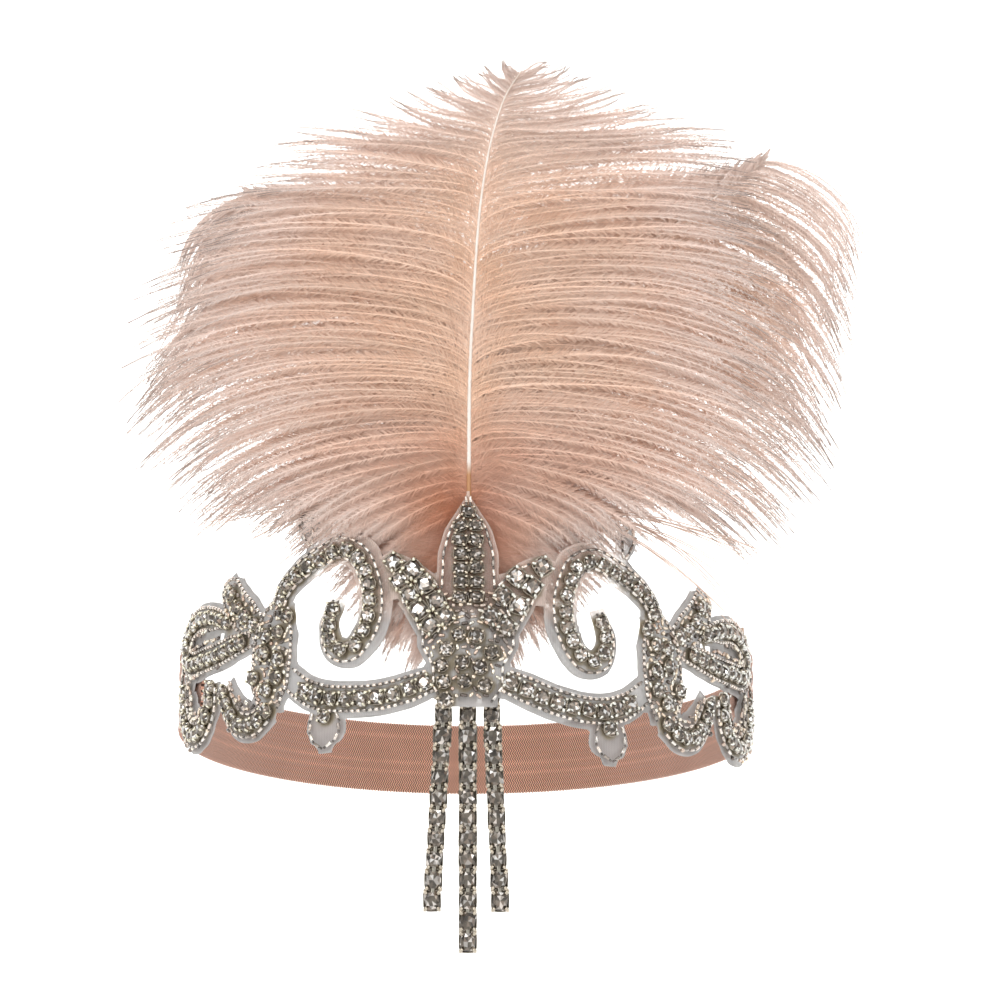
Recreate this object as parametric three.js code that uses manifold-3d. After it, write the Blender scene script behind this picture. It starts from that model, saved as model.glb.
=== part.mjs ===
// A 1920s style flapper headband: a beaded applique on sheer net across the front of the head,
// a knitted elastic across the back, three ostrich plumes fixed behind the centre motif and
// three strands of cup chain hanging below it.
//
// Frame: millimetres, +Z up as worn, +X to the viewer's right, the wearer facing -Y.
// The origin is the centre of the ring that the head fills. The ring leans: its front is high.
import * as THREE from 'three';
import Module from 'manifold-3d';

// The ring round the head
const HEAD_WIDTH = 151; // inside the band, ear to ear
const HEAD_DEPTH = 190; // inside the band, brow to nape
const FRONT_LIFT = 22; // how far the brow side lies above the ring's centre

// The elastic
const ELASTIC_WIDTH = 20;
const ELASTIC_THICK = 1.2;

// The applique: its places are shares of these two lengths
const APPLIQUE_HALF = 100; // from its centre line to the outermost stones, along the band
const APPLIQUE_RISE = 50; // from its lowest curl to the tip of its centre spike
const APPLIQUE_SHIFT = 1.2; // its centre line lies this far to the right of the ring's
const RIGHT_SAG = 3; // the right side is sewn on this much lower than the left
const SAG_FROM = 0.1; // where the sag starts, as a share of APPLIQUE_HALF
const SAG_TO = 0.35; // where it is whole
const ELASTIC_END = 0.88 * APPLIQUE_HALF; // where the elastic ends under the applique
const NET_THICK = 1;
const NET_WIDTH = 0.1 * APPLIQUE_HALF; // of a scroll's strip of net, at its widest
const NET_STEP = 8; // the longest straight stretch of a strip of net, along it
const NET_SPAN = 10; // the same across it
const LAYER_GAP = 0.3; // between the elastic, the net, the stones and the quills

// Stones, across the flats
const ROW_STONE = 3.7;
const SPIKE_STONE = 3;
const PETAL_STONE = 4.3;
const STONE_HIGH = 1.7; // from the foot of a setting to the stone's table
const TABLE_SHARE = 0.55; // the table's width as a share of the stone's
const STONE_SIDES = 8;
const STONE_SPACE = 0.5; // between neighbouring settings
const WIRE_WIDE = 1.2; // the wire that joins neighbouring settings
const WIRE_HIGH = 0.6;

// The cup chains
const CUP_SIZE = 4.2;
const CUP_PITCH = 5;
const CHAIN_HIDDEN = 0.4; // how far the first cup's lower edge lies above the applique's

// The plumes
const PLUME_HEIGHT = 147; // from the quills' feet to the middle one's top, along the band's lean
const BARB_LENGTH = 0.585 * PLUME_HEIGHT; // the longest barbs of the middle plume
const QUILL_RADIUS = 1.1;
const QUILL_SPACING = 3.5; // between the three quills where they are sewn on
const QUILL_FOOT = -0.1; // the height of their feet on the band, as a share of APPLIQUE_RISE
const LOCK_THICK = 1.8; // a lock of barbs, at its middle
const SEAM_SHARE = 0.4; // the thickness where two locks meet, as a share of LOCK_THICK
const LOCKS = 7; // locks on each side of a plume

const wasm = await Module();
wasm.setup();

// The band's surface: an elliptical cylinder, leaning back

const halfWidth = HEAD_WIDTH / 2;
const halfDepth = HEAD_DEPTH / 2;
const lean = Math.asin(FRONT_LIFT / halfDepth);
const upAxis = new THREE.Vector3(0, Math.sin(lean), Math.cos(lean));

const ARC_STEPS = 1440;
const arcLengths = [0];
for (let step = 1; step <= ARC_STEPS; step++) {
  const middle = (step - 0.5) / ARC_STEPS * Math.PI;
  const slope = Math.hypot(halfWidth * Math.cos(middle), halfDepth * Math.sin(middle));
  arcLengths.push(arcLengths[step - 1] + slope * Math.PI / ARC_STEPS);
}
const HALF_ROUND = arcLengths[ARC_STEPS]; // the band's length from the brow to the nape

// The ring's angle at a length along the band from the middle of the brow.
function ringAngle(along) {
  const length = Math.abs(along);
  if (length > HALF_ROUND) {
    return Math.sign(along) * (2 * Math.PI - ringAngle(2 * HALF_ROUND - length));
  }
  const after = arcLengths.findIndex((value) => value > length);
  const step = (after < 0 ? ARC_STEPS : after) - 1;
  const part = (length - arcLengths[step]) / (arcLengths[step + 1] - arcLengths[step]);
  return Math.sign(along) * (step + part) / ARC_STEPS * Math.PI;
}

// The outward direction at a length along the band.
function outwardAt(along) {
  const angle = ringAngle(along);
  const flat = new THREE.Vector3(Math.sin(angle) / halfWidth, -Math.cos(angle) / halfDepth, 0);
  return flat.normalize().applyAxisAngle(new THREE.Vector3(1, 0, 0), -lean);
}

// The point that lies `along` the band, `up` across it and `out` from the head.
function onHead(along, up, out) {
  const angle = ringAngle(along);
  const ring = new THREE.Vector3(halfWidth * Math.sin(angle), -halfDepth * Math.cos(angle), 0);
  ring.applyAxisAngle(new THREE.Vector3(1, 0, 0), -lean);
  return ring.addScaledVector(upAxis, up).addScaledVector(outwardAt(along), out);
}

// Solids

// A closed solid through rings of equally many points, with flat ends.
function loft(rings) {
  const count = rings[0].length;
  const triangles = [];
  for (let row = 0; row + 1 < rings.length; row++) {
    for (let side = 0; side < count; side++) {
      const next = (side + 1) % count;
      const corner = row * count;
      triangles.push([corner + side, corner + next, corner + count + side]);
      triangles.push([corner + next, corner + count + next, corner + count + side]);
    }
  }
  const last = (rings.length - 1) * count;
  for (let side = 1; side + 1 < count; side++) {
    triangles.push([0, side + 1, side]);
    triangles.push([last, last + side, last + side + 1]);
  }
  return solidOf(rings.flat(), triangles);
}

// A solid from points and triangles, turned right side out if it is inside out.
function solidOf(points, triangles) {
  let volume = 0;
  for (const [a, b, c] of triangles) {
    volume += points[a].dot(new THREE.Vector3().crossVectors(points[b], points[c]));
  }
  const turned = volume < 0 ? triangles.map(([a, b, c]) => [a, c, b]) : triangles;
  return new wasm.Manifold(new wasm.Mesh({
    numProp: 3,
    vertProperties: new Float32Array(points.flatMap((point) => point.toArray())),
    triVerts: new Uint32Array(turned.flat()),
  }));
}

// One solid from several, without the slivers that a join leaves.
function joined(solids) {
  const LEAST_DETAIL = 0.05;
  return solids.reduce((whole, solid) => whole.add(solid)).asOriginal().simplify(LEAST_DETAIL);
}

const model = new THREE.Group();

function addPiece(name, solid, material) {
  const { vertProperties, triVerts } = solid.getMesh();
  const geometry = new THREE.BufferGeometry();
  geometry.setAttribute('position', new THREE.BufferAttribute(vertProperties, 3));
  geometry.setIndex(new THREE.BufferAttribute(triVerts, 1));
  geometry.computeVertexNormals();
  const mesh = new THREE.Mesh(geometry, material);
  mesh.name = name;
  model.add(mesh);
}

const elasticKnit = new THREE.MeshStandardMaterial({ color: 0xc38c7a, roughness: 0.9 });
const sheerNet = new THREE.MeshStandardMaterial({ color: 0xe9e4e0, roughness: 0.6 });
const rhinestone = new THREE.MeshStandardMaterial({ color: 0xb9b2a6, roughness: 0.15, metalness: 0.6 });
const chainMetal = new THREE.MeshStandardMaterial({ color: 0xa8a297, roughness: 0.2, metalness: 0.9 });
const plumePeach = new THREE.MeshStandardMaterial({ color: 0xe2bba5, roughness: 0.95 });

// The elastic, from under one end of the applique round the nape to the other

function elasticBand() {
  const SECTIONS = 34;
  const half = ELASTIC_WIDTH / 2;
  const rings = [];
  for (let section = 0; section <= SECTIONS; section++) {
    const along = ELASTIC_END + (2 * HALF_ROUND - 2 * ELASTIC_END) * section / SECTIONS;
    rings.push([
      onHead(along, -half, 0),
      onHead(along, -half, ELASTIC_THICK),
      onHead(along, half, ELASTIC_THICK),
      onHead(along, half, 0),
    ]);
  }
  return loft(rings);
}

// The motifs of the applique
// Each row of a route is a point on a motif's middle line:
//   out    from the applique's centre line, as a share of APPLIQUE_HALF
//   up     from the band's middle line, as a share of APPLIQUE_RISE
//   right  the net's width on the line's right hand, going along it, as a share of NET_WIDTH
//   left   the same on its left hand; both as seen on the left half of the applique

const CENTRE_ROUTES = {
  spike: [
    // out, up, right, left
    [0.00, 0.67, 0.04, 0.04],
    [0.00, 0.59, 0.28, 0.28],
    [0.00, 0.50, 0.56, 0.56],
    [0.00, 0.38, 0.72, 0.72],
    [0.00, 0.16, 0.77, 0.77],
  ],
  heart: [
    [0.00, 0.20, 0.90, 0.90],
    [0.00, 0.02, 1.20, 1.20],
    [0.00, -0.08, 1.20, 1.20],
    [0.00, -0.18, 0.95, 0.95],
    [0.00, -0.28, 0.95, 0.95],
    [0.00, -0.355, 0.70, 0.70],
  ],
};

const SIDE_ROUTES = {
  petal: [
    [0.190, 0.37, 0.20, 0.20],
    [0.150, 0.29, 0.40, 0.40],
    [0.115, 0.19, 0.58, 0.58],
    [0.070, 0.04, 0.60, 0.60],
  ],
  arm: [
    [0.085, -0.25, 0.40, 0.40],
    [0.140, -0.29, 0.45, 0.45],
    [0.210, -0.32, 0.46, 0.46],
    [0.290, -0.32, 0.46, 0.46],
    [0.360, -0.30, 0.46, 0.46],
    [0.415, -0.25, 0.42, 0.42],
    [0.460, -0.18, 0.40, 0.40],
  ],
  bud_drop: [
    [0.350, -0.32, 0.40, 0.40],
    [0.352, -0.40, 0.56, 0.56],
    [0.353, -0.48, 0.60, 0.60],
    [0.355, -0.545, 0.40, 0.40],
  ],
  scroll: [
    [0.505, 0.15, 0.34, 0.34],
    [0.475, 0.27, 0.34, 0.36],
    [0.420, 0.35, 0.34, 0.40],
    [0.360, 0.40, 0.34, 0.46],
    [0.312, 0.43, 0.34, 0.50],
    [0.268, 0.385, 0.34, 0.54],
    [0.243, 0.28, 0.33, 0.54],
    [0.233, 0.16, 0.32, 0.54],
    [0.245, 0.03, 0.32, 0.52],
    [0.285, -0.07, 0.30, 0.48],
    [0.325, -0.05, 0.28, 0.42],
    [0.342, 0.05, 0.24, 0.34],
    [0.322, 0.17, 0.20, 0.24],
  ],
  top_bud: [
    [0.310, 0.555, 0.08, 0.10],
    [0.355, 0.55, 0.28, 0.34],
    [0.410, 0.57, 0.36, 0.40],
    [0.455, 0.58, 0.20, 0.22],
  ],
  leaf: [
    [0.690, 0.41, 0.10, 0.10],
    [0.682, 0.33, 0.46, 0.46],
    [0.660, 0.25, 0.60, 0.60],
    [0.615, 0.17, 0.58, 0.58],
    [0.560, 0.09, 0.42, 0.42],
  ],
  ring: [
    [0.590, 0.06, 0.30, 0.36],
    [0.660, 0.04, 0.40, 0.40],
    [0.740, 0.02, 0.55, 0.42],
    [0.830, 0.02, 0.60, 0.44],
    [0.910, 0.03, 0.60, 0.48],
    [0.960, 0.09, 0.60, 0.50],
    [0.935, 0.19, 0.55, 0.48],
    [0.860, 0.24, 0.55, 0.44],
    [0.770, 0.22, 0.45, 0.40],
    [0.700, 0.17, 0.24, 0.34],
  ],
  flower: [
    [0.490, 0.20, 0.42, 0.42],
    [0.510, 0.08, 0.74, 0.74],
    [0.520, -0.06, 0.80, 0.80],
    [0.525, -0.20, 0.76, 0.76],
    [0.525, -0.32, 0.44, 0.44],
  ],
  lower_curl: [
    [0.715, -0.18, 0.36, 0.50],
    [0.680, -0.29, 0.42, 0.60],
    [0.635, -0.37, 0.42, 0.70],
    [0.580, -0.38, 0.42, 0.60],
    [0.535, -0.33, 0.40, 0.40],
  ],
  end_curl: [
    [0.785, -0.13, 0.50, 0.42],
    [0.790, -0.25, 0.60, 0.44],
    [0.845, -0.345, 0.70, 0.46],
    [0.925, -0.32, 0.80, 0.50],
    [0.975, -0.20, 0.90, 0.52],
    [0.980, -0.08, 0.80, 0.50],
    [0.960, 0.02, 0.40, 0.44],
  ],
};

// Which stones a motif carries: one row, two rows side by side, or places set by hand.
const STONE_ROWS = {
  spike: { size: SPIKE_STONE, rows: 2, from: 0.16, to: 1 },
  petal: { size: PETAL_STONE, rows: 2, from: 0.10, to: 1 },
  arm: { size: ROW_STONE, rows: 1, from: 0.04, to: 0.84 },
  bud_drop: { size: ROW_STONE, rows: 1, from: 0.36, to: 0.36 },
  scroll: { size: ROW_STONE, rows: 1, from: 0.05, to: 0.97 },
  leaf: { size: ROW_STONE, rows: 1, from: 0.22, to: 0.86 },
  ring: { size: ROW_STONE, rows: 1, from: 0.07, to: 1 },
  lower_curl: { size: ROW_STONE, rows: 1, from: 0, to: 1 },
  end_curl: { size: ROW_STONE, rows: 1, from: 0, to: 0.86 },
};

// Stones set by hand: their places outwards and upwards from a centre, in stone pitches.
const STONE_PLACES = {
  heart: {
    centre: [0, -0.16],
    places: [
      [-1.24, -2.24],
      [-1.33, -1.24],
      [-1.43, -0.21],
      [-1.19, 0.81],
      [-0.52, 1.62],
      [0.48, 1.52],
      [1.33, 0.57],
      [0.64, -0.31],
      [-0.36, -0.05],
      [-0.19, -1.19],
      [0.95, -1.33],
    ],
  },
  flower: {
    centre: [0.52, -0.04],
    places: [
      [-1.25, 2.05],
      [-0.55, 1.17],
      [0.48, 1.10],
      [0.57, 0.05],
      [-0.57, -0.38],
      [-0.43, -1.48],
      [0.33, -2.19],
      [1.48, -1.29],
    ],
  },
};

// Where a motif's point lies on the band. side is -1 for the left half and 1 for the right.
function onBand(out, up, side) {
  const sag = side > 0 ? RIGHT_SAG * THREE.MathUtils.smoothstep(out, SAG_FROM, SAG_TO) : 0;
  return new THREE.Vector2(APPLIQUE_SHIFT + side * out * APPLIQUE_HALF, up * APPLIQUE_RISE - sag);
}

// A route's middle line and the widths of its net, as smooth curves of one parameter.
function routeCurves(rows, side) {
  const middle = rows.map(([out, up]) => {
    const place = onBand(out, up, side);
    return new THREE.Vector3(place.x, place.y, 0);
  });
  const widths = rows.map(([, , right, left]) => new THREE.Vector3(right, left, 0));
  return {
    line: new THREE.CatmullRomCurve3(middle),
    widths: new THREE.CatmullRomCurve3(widths),
  };
}

// A strip of net along a route: a thin wall that follows the head's surface.
function netStrip(rows, side) {
  const { line, widths } = routeCurves(rows, side);
  const inside = ELASTIC_THICK + LAYER_GAP;
  const steps = Math.ceil(line.getLength() / NET_STEP);
  const widest = Math.max(...rows.map(([, , right, left]) => right + left)) * NET_WIDTH;
  const parts = Math.ceil(widest / NET_SPAN);
  const rings = [];
  for (let step = 0; step <= steps; step++) {
    const at = line.getUtoTmapping(step / steps);
    const middle = line.getPoint(at);
    const ahead = line.getTangent(at);
    const width = widths.getPoint(at);
    const right = width.x * NET_WIDTH * side;
    const left = width.y * NET_WIDTH * -side;
    const across = Array.from({ length: parts + 1 }, (_, part) => (
      left + (right - left) * part / parts
    ));
    const place = (shift, out) => onHead(middle.x - ahead.y * shift, middle.y + ahead.x * shift, out);
    rings.push([
      ...across.map((shift) => place(shift, inside)),
      ...across.reverse().map((shift) => place(shift, inside + NET_THICK)),
    ]);
  }
  return loft(rings);
}

function netBacking() {
  const strips = Object.values(CENTRE_ROUTES).map((rows) => netStrip(rows, -1));
  for (const side of [-1, 1]) {
    strips.push(...Object.values(SIDE_ROUTES).map((rows) => netStrip(rows, side)));
  }
  return joined(strips);
}

// Stones

// A ring of points round a setting's axis, with its flats towards its neighbours.
function stoneRing(centre, right, forward, width) {
  const radius = width / 2 / Math.cos(Math.PI / STONE_SIDES);
  return Array.from({ length: STONE_SIDES }, (_, side) => {
    const angle = (side + 0.5) * 2 * Math.PI / STONE_SIDES;
    return centre.clone()
      .addScaledVector(right, radius * Math.cos(angle))
      .addScaledVector(forward, radius * Math.sin(angle));
  });
}

// A cut stone in its setting: a foot, a sloping crown and a flat table.
function stone(foot, right, forward, size) {
  const out = new THREE.Vector3().crossVectors(right, forward).normalize();
  const table = foot.clone().addScaledVector(out, STONE_HIGH);
  return loft([
    stoneRing(foot, right, forward, size),
    stoneRing(table, right, forward, size * TABLE_SHARE),
  ]);
}

// A wire between two settings, whose ends lie inside them.
function wire(start, end, out) {
  const ahead = end.clone().sub(start).normalize();
  const across = new THREE.Vector3().crossVectors(ahead, out).normalize();
  const lift = WIRE_HIGH / 3;
  const ring = (point) => [[-0.5, lift], [0.5, lift], [0, lift + WIRE_HIGH]].map(([side, rise]) => (
    point.clone().addScaledVector(across, side * WIRE_WIDE).addScaledVector(out, rise)
  ));
  return loft([ring(start), ring(end)]);
}

// The places of a motif's stones along its route, in one row or in two staggered ones.
function stonesAlong(rows, side, { size, rows: columns, from, to }) {
  const { line } = routeCurves(rows, side);
  const length = line.getLength() * (to - from);
  const pitch = size + STONE_SPACE;
  const count = Math.floor(length / pitch) + 1;
  const places = [];
  for (let index = 0; index < count; index++) {
    const share = from + (to - from) * (count === 1 ? 0 : index / (count - 1));
    const middle = line.getPointAt(share);
    const ahead = line.getTangentAt(share);
    const single = columns === 1 || index === 0;
    const shifts = single ? [0] : [-pitch / 2, pitch / 2];
    for (const shift of index % 2 ? shifts : shifts.reverse()) {
      places.push({ x: middle.x - ahead.y * shift, y: middle.y + ahead.x * shift, ahead });
    }
  }
  return places;
}

function stonesByHand({ centre, places }, side) {
  const pitch = ROW_STONE + STONE_SPACE;
  const middle = onBand(...centre, side);
  return places.map(([outwards, upwards]) => ({
    x: middle.x + side * outwards * pitch,
    y: middle.y + upwards * pitch,
    ahead: new THREE.Vector3(0, 1, 0),
  }));
}

// The settings of a motif in one solid, each joined to the next by a wire.
function stoneField(places, size) {
  const foot = ELASTIC_THICK + 2 * LAYER_GAP + NET_THICK;
  const solids = places.map(({ x, y, ahead }) => {
    const out = outwardAt(x);
    const along = new THREE.Vector3().crossVectors(upAxis, out).normalize();
    const forward = along.clone().multiplyScalar(ahead.x).addScaledVector(upAxis, ahead.y).normalize();
    const right = new THREE.Vector3().crossVectors(forward, out);
    return stone(onHead(x, y, foot), right, forward, size);
  });
  for (let index = 0; index + 1 < places.length; index++) {
    const [a, b] = [places[index], places[index + 1]];
    const out = outwardAt((a.x + b.x) / 2);
    solids.push(wire(onHead(a.x, a.y, foot), onHead(b.x, b.y, foot), out));
  }
  return joined(solids);
}

function motifStones(motif, route, side) {
  if (STONE_PLACES[motif]) {
    return stoneField(stonesByHand(STONE_PLACES[motif], side), ROW_STONE);
  }
  const setting = STONE_ROWS[motif];
  return stoneField(stonesAlong(route, side, setting), setting.size);
}

// The strands
// Each strand's columns: side of its top and of its end from the centre line, as shares of the
// strands' spacing, and how many cups it has

const STRAND_SPACING = 5.6;
const STRANDS = {
  left: { top: -1, end: -1.55, cups: 11 },
  middle: { top: 0, end: 0, cups: 13 },
  right: { top: 1, end: 1.4, cups: 11 },
};

function strand({ top, end, cups }) {
  const topEdge = CENTRE_ROUTES.heart.at(-1)[1] * APPLIQUE_RISE + CUP_SIZE + CHAIN_HIDDEN;
  const behindNet = onHead(
    APPLIQUE_SHIFT + top * (STRAND_SPACING + CUP_SIZE / 2),
    topEdge,
    ELASTIC_THICK - STONE_HIGH,
  );
  const right = new THREE.Vector3(1, 0, 0);
  const up = new THREE.Vector3(0, 0, 1);
  const front = new THREE.Vector3(0, -1, 0);
  const feet = [];
  for (let cup = 0; cup < cups; cup++) {
    const sway = top + (end - top) * cup / (cups - 1);
    feet.push(new THREE.Vector3(
      APPLIQUE_SHIFT + sway * STRAND_SPACING,
      behindNet.y,
      behindNet.z - CUP_SIZE / 2 - cup * CUP_PITCH,
    ));
  }
  const solids = feet.map((foot) => stone(foot, right, up, CUP_SIZE));
  for (let cup = 0; cup + 1 < cups; cup++) {
    solids.push(wire(feet[cup], feet[cup + 1], front));
  }
  return joined(solids);
}

// The plumes
// Place says which foot is a quill's own. Its rows are points, from that foot, as shares of
// PLUME_HEIGHT:
//   side    to the right
//   back    behind the band's lean
//   height  along the band's lean
// A vane's rows:
//   at      where along the quill a barb leaves it, as a share of the quill's length
//   long    the barb's length, as a share of BARB_LENGTH
//   rise    its slope in degrees above level, going outwards

const PLUMES = {
  middle: {
    place: 0,
    quill: [
      // side, back, height
      [0.000, 0.000, 0.000],
      [0.000, 0.000, 0.170],
      [0.001, 0.000, 0.290],
      [0.002, -0.009, 0.460],
      [0.008, -0.018, 0.600],
      [0.020, -0.048, 0.770],
      [0.038, -0.079, 0.880],
      [0.062, -0.122, 0.955],
      [0.092, -0.168, 1.000],
    ],
    forward: 0.05,
    left: [
      // at, long, rise
      [1.00, 0.09, 30],
      [0.90, 0.36, 10],
      [0.80, 0.62, 5],
      [0.66, 0.90, 3],
      [0.50, 1.00, 4],
      [0.30, 0.84, -10],
    ],
    right: [
      [1.00, 0.09, 20],
      [0.90, 0.32, 22],
      [0.80, 0.54, 20],
      [0.66, 0.84, 10],
      [0.50, 0.96, 1],
      [0.30, 0.80, -13],
    ],
  },
  left: {
    place: -1,
    quill: [
      [0.000, 0.000, 0.000],
      [-0.006, 0.030, 0.140],
      [-0.024, 0.058, 0.290],
      [-0.054, 0.082, 0.440],
      [-0.094, 0.092, 0.590],
      [-0.166, 0.088, 0.720],
      [-0.266, 0.080, 0.785],
      [-0.361, 0.076, 0.795],
    ],
    forward: -0.02,
    left: [
      [1.00, 0.26, -8],
      [0.90, 0.44, -28],
      [0.74, 0.72, -26],
      [0.56, 0.88, -20],
      [0.36, 0.74, -22],
      [0.29, 0.42, -2],
    ],
    right: [
      [1.00, 0.08, 110],
      [0.85, 0.16, 100],
      [0.70, 0.30, 90],
      [0.52, 0.46, 74],
      [0.36, 0.46, 60],
    ],
  },
  right: {
    place: 1,
    quill: [
      [0.000, 0.000, 0.000],
      [0.010, 0.024, 0.140],
      [0.038, 0.041, 0.290],
      [0.086, 0.058, 0.420],
      [0.146, 0.065, 0.545],
      [0.236, 0.062, 0.665],
      [0.346, 0.050, 0.755],
      [0.446, 0.029, 0.825],
      [0.488, 0.015, 0.860],
    ],
    forward: -0.02,
    left: [
      [1.00, 0.08, 100],
      [0.85, 0.16, 96],
      [0.70, 0.32, 88],
      [0.52, 0.46, 76],
      [0.36, 0.46, 60],
    ],
    right: [
      [1.00, 0.34, -14],
      [0.86, 0.52, -36],
      [0.70, 0.72, -36],
      [0.52, 0.88, -30],
      [0.34, 0.82, -28],
      [0.28, 0.42, -4],
    ],
  },
};

function quillCurve(rows, place) {
  const foot = onHead(APPLIQUE_SHIFT, QUILL_FOOT * APPLIQUE_RISE, ELASTIC_THICK - QUILL_RADIUS);
  const root = foot.add(new THREE.Vector3(place * QUILL_SPACING, 0, 0));
  return new THREE.CatmullRomCurve3(rows.map(([side, back, height]) => {
    const offset = new THREE.Vector3(side, back, 0).addScaledVector(upAxis, height);
    return root.clone().addScaledVector(offset, PLUME_HEIGHT);
  }));
}

// The bare shaft, tapering to its tip.
function quill(line) {
  const SECTIONS = 9;
  const SIDES = 5;
  const rings = [];
  for (let section = 0; section <= SECTIONS; section++) {
    const centre = line.getPointAt(section / SECTIONS);
    const ahead = line.getTangentAt(section / SECTIONS);
    const across = new THREE.Vector3(0, 1, 0).cross(ahead).normalize();
    const back = new THREE.Vector3().crossVectors(ahead, across);
    const radius = QUILL_RADIUS * (1 - 0.6 * section / SECTIONS);
    rings.push(Array.from({ length: SIDES }, (_, side) => centre.clone()
      .addScaledVector(across, radius * Math.cos(side * 2 * Math.PI / SIDES))
      .addScaledVector(back, radius * Math.sin(side * 2 * Math.PI / SIDES))));
  }
  return loft(rings);
}

// The value of a table's column at a place, straight between its rows.
function fromTable(rows, at, column) {
  const next = Math.max(1, rows.findIndex((row) => row[0] <= at));
  const [above, below] = [rows[next - 1], rows[next]];
  const part = (above[0] - at) / (above[0] - below[0]);
  return above[column] + (below[column] - above[column]) * part;
}

// A point of a barb, which leaves the quill steeply and arches over to its own slope.
function barbPoint(line, rows, side, at, share, reach, forward) {
  const ARCH = 32; // degrees that a barb's first half rises above its slope
  const BARB_BELLY = 0.55; // where its arch turns, as a share of its length
  const root = line.getPointAt(at);
  const long = fromTable(rows, at, 1) * BARB_LENGTH * reach;
  const rise = THREE.MathUtils.degToRad(fromTable(rows, at, 2));
  const arch = THREE.MathUtils.degToRad(ARCH);
  const start = -QUILL_RADIUS / 2; // on the quill's far side, so that the two vanes meet in it
  const bend = 2 * share * (1 - share) * BARB_BELLY * long + (1 - share) ** 2 * start;
  const end = share * share * long;
  const outwards = bend * Math.cos(rise + arch) + end * Math.cos(rise);
  const upwards = bend * Math.sin(rise + arch) + end * Math.sin(rise);
  return new THREE.Vector3(
    root.x + side * outwards,
    root.y - forward * PLUME_HEIGHT * share * share,
    root.z + upwards,
  );
}

// One side of a plume: locks that share their seams near the quill and part towards their
// tips. Front and back skins meet at the rim, so that the rim is sharp.
function vane(line, rows, side, forward) {
  const SEAM_STEPS = [0, 0.25, 0.5, 0.72]; // shares of a barb's length, from the quill to the notch
  const SEAM_REACH = 0.96;
  const top = rows[0][0];
  const bottom = rows.at(-1)[0];
  const points = [];
  const triangles = [];
  const skin = (place, thick) => {
    const offset = new THREE.Vector3(0, thick / 2, 0);
    points.push(place.clone().sub(offset));
    if (thick === 0) {
      return [points.length - 1, points.length - 1];
    }
    points.push(place.clone().add(offset));
    return [points.length - 2, points.length - 1];
  };
  const rib = (at, isSeam, isEnd) => SEAM_STEPS.map((share, step) => {
    const atRim = step === 0 || isEnd || (isSeam && step === SEAM_STEPS.length - 1);
    const thick = LOCK_THICK * (isSeam ? SEAM_SHARE : 1);
    const reach = isSeam ? SEAM_REACH : 1;
    return skin(barbPoint(line, rows, side, at, share, reach, forward), atRim ? 0 : thick);
  });
  const face = (a, b, c) => {
    triangles.push([a[0], b[0], c[0]]);
    triangles.push([a[1], c[1], b[1]]);
  };
  const seams = [];
  for (let lock = 0; lock <= LOCKS; lock++) {
    const at = top + (bottom - top) * lock / LOCKS;
    seams.push(rib(at, true, lock === 0 || lock === LOCKS));
  }
  for (let lock = 0; lock < LOCKS; lock++) {
    const at = top + (bottom - top) * (lock + 0.5) / LOCKS;
    const ridge = rib(at, false, false);
    const tip = skin(barbPoint(line, rows, side, at, 1, 1, forward), 0);
    const last = SEAM_STEPS.length - 1;
    for (const [first, second] of [[seams[lock], ridge], [ridge, seams[lock + 1]]]) {
      for (let step = 0; step < last; step++) {
        face(first[step], second[step], second[step + 1]);
        face(first[step], second[step + 1], first[step + 1]);
      }
      face(first[last], second[last], tip);
    }
  }
  return solidOf(points, triangles);
}

function plume({ place, quill: rows, forward, left, right }) {
  const line = quillCurve(rows, place);
  return joined([quill(line), vane(line, left, -1, forward), vane(line, right, 1, forward)]);
}

// The headband

addPiece('elastic_band', elasticBand(), elasticKnit);
addPiece('applique_backing', netBacking(), sheerNet);

for (const [motif, route] of Object.entries(CENTRE_ROUTES)) {
  addPiece(`${motif}_stones`, motifStones(motif, route, 1), rhinestone);
}
for (const [name, side] of [['left', -1], ['right', 1]]) {
  for (const [motif, route] of Object.entries(SIDE_ROUTES)) {
    if (STONE_ROWS[motif] || STONE_PLACES[motif]) {
      addPiece(`${name}_${motif}_stones`, motifStones(motif, route, side), rhinestone);
    }
  }
}
for (const [name, sizes] of Object.entries(STRANDS)) {
  addPiece(`strand_${name}`, strand(sizes), chainMetal);
}
for (const [name, shape] of Object.entries(PLUMES)) {
  addPiece(`plume_${name}`, plume(shape), plumePeach);
}

export default model;
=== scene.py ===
"""A 1920s style flapper headband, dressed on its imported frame.

Lengths are millimetres until a mesh is made, which turns them into metres. +Z is up as worn and
the wearer faces -Y. A place on the band is (along, up, out): along the band from the middle of
the brow, up across it, and out from the head.
"""
import math

import bpy
import numpy as np
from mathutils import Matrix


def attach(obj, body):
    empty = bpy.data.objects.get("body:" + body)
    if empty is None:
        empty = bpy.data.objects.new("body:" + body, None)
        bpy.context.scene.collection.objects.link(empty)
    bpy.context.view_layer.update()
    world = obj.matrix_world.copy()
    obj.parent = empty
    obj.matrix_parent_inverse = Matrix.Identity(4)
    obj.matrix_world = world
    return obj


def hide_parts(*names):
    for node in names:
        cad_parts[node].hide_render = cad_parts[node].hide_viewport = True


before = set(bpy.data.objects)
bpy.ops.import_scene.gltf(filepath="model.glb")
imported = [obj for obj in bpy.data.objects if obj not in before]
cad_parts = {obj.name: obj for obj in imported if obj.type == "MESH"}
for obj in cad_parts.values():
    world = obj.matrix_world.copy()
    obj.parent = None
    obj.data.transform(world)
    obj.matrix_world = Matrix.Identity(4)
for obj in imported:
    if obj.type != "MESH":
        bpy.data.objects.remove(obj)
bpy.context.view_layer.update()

# Sizes, as in the frame.

HALF_WIDTH = 75.5
HALF_DEPTH = 95.0
LEAN = math.asin(22 / HALF_DEPTH)
UP_AXIS = np.array([0, math.sin(LEAN), math.cos(LEAN)])
FRONT = np.array([0.0, -1.0, 0.0])

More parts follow.
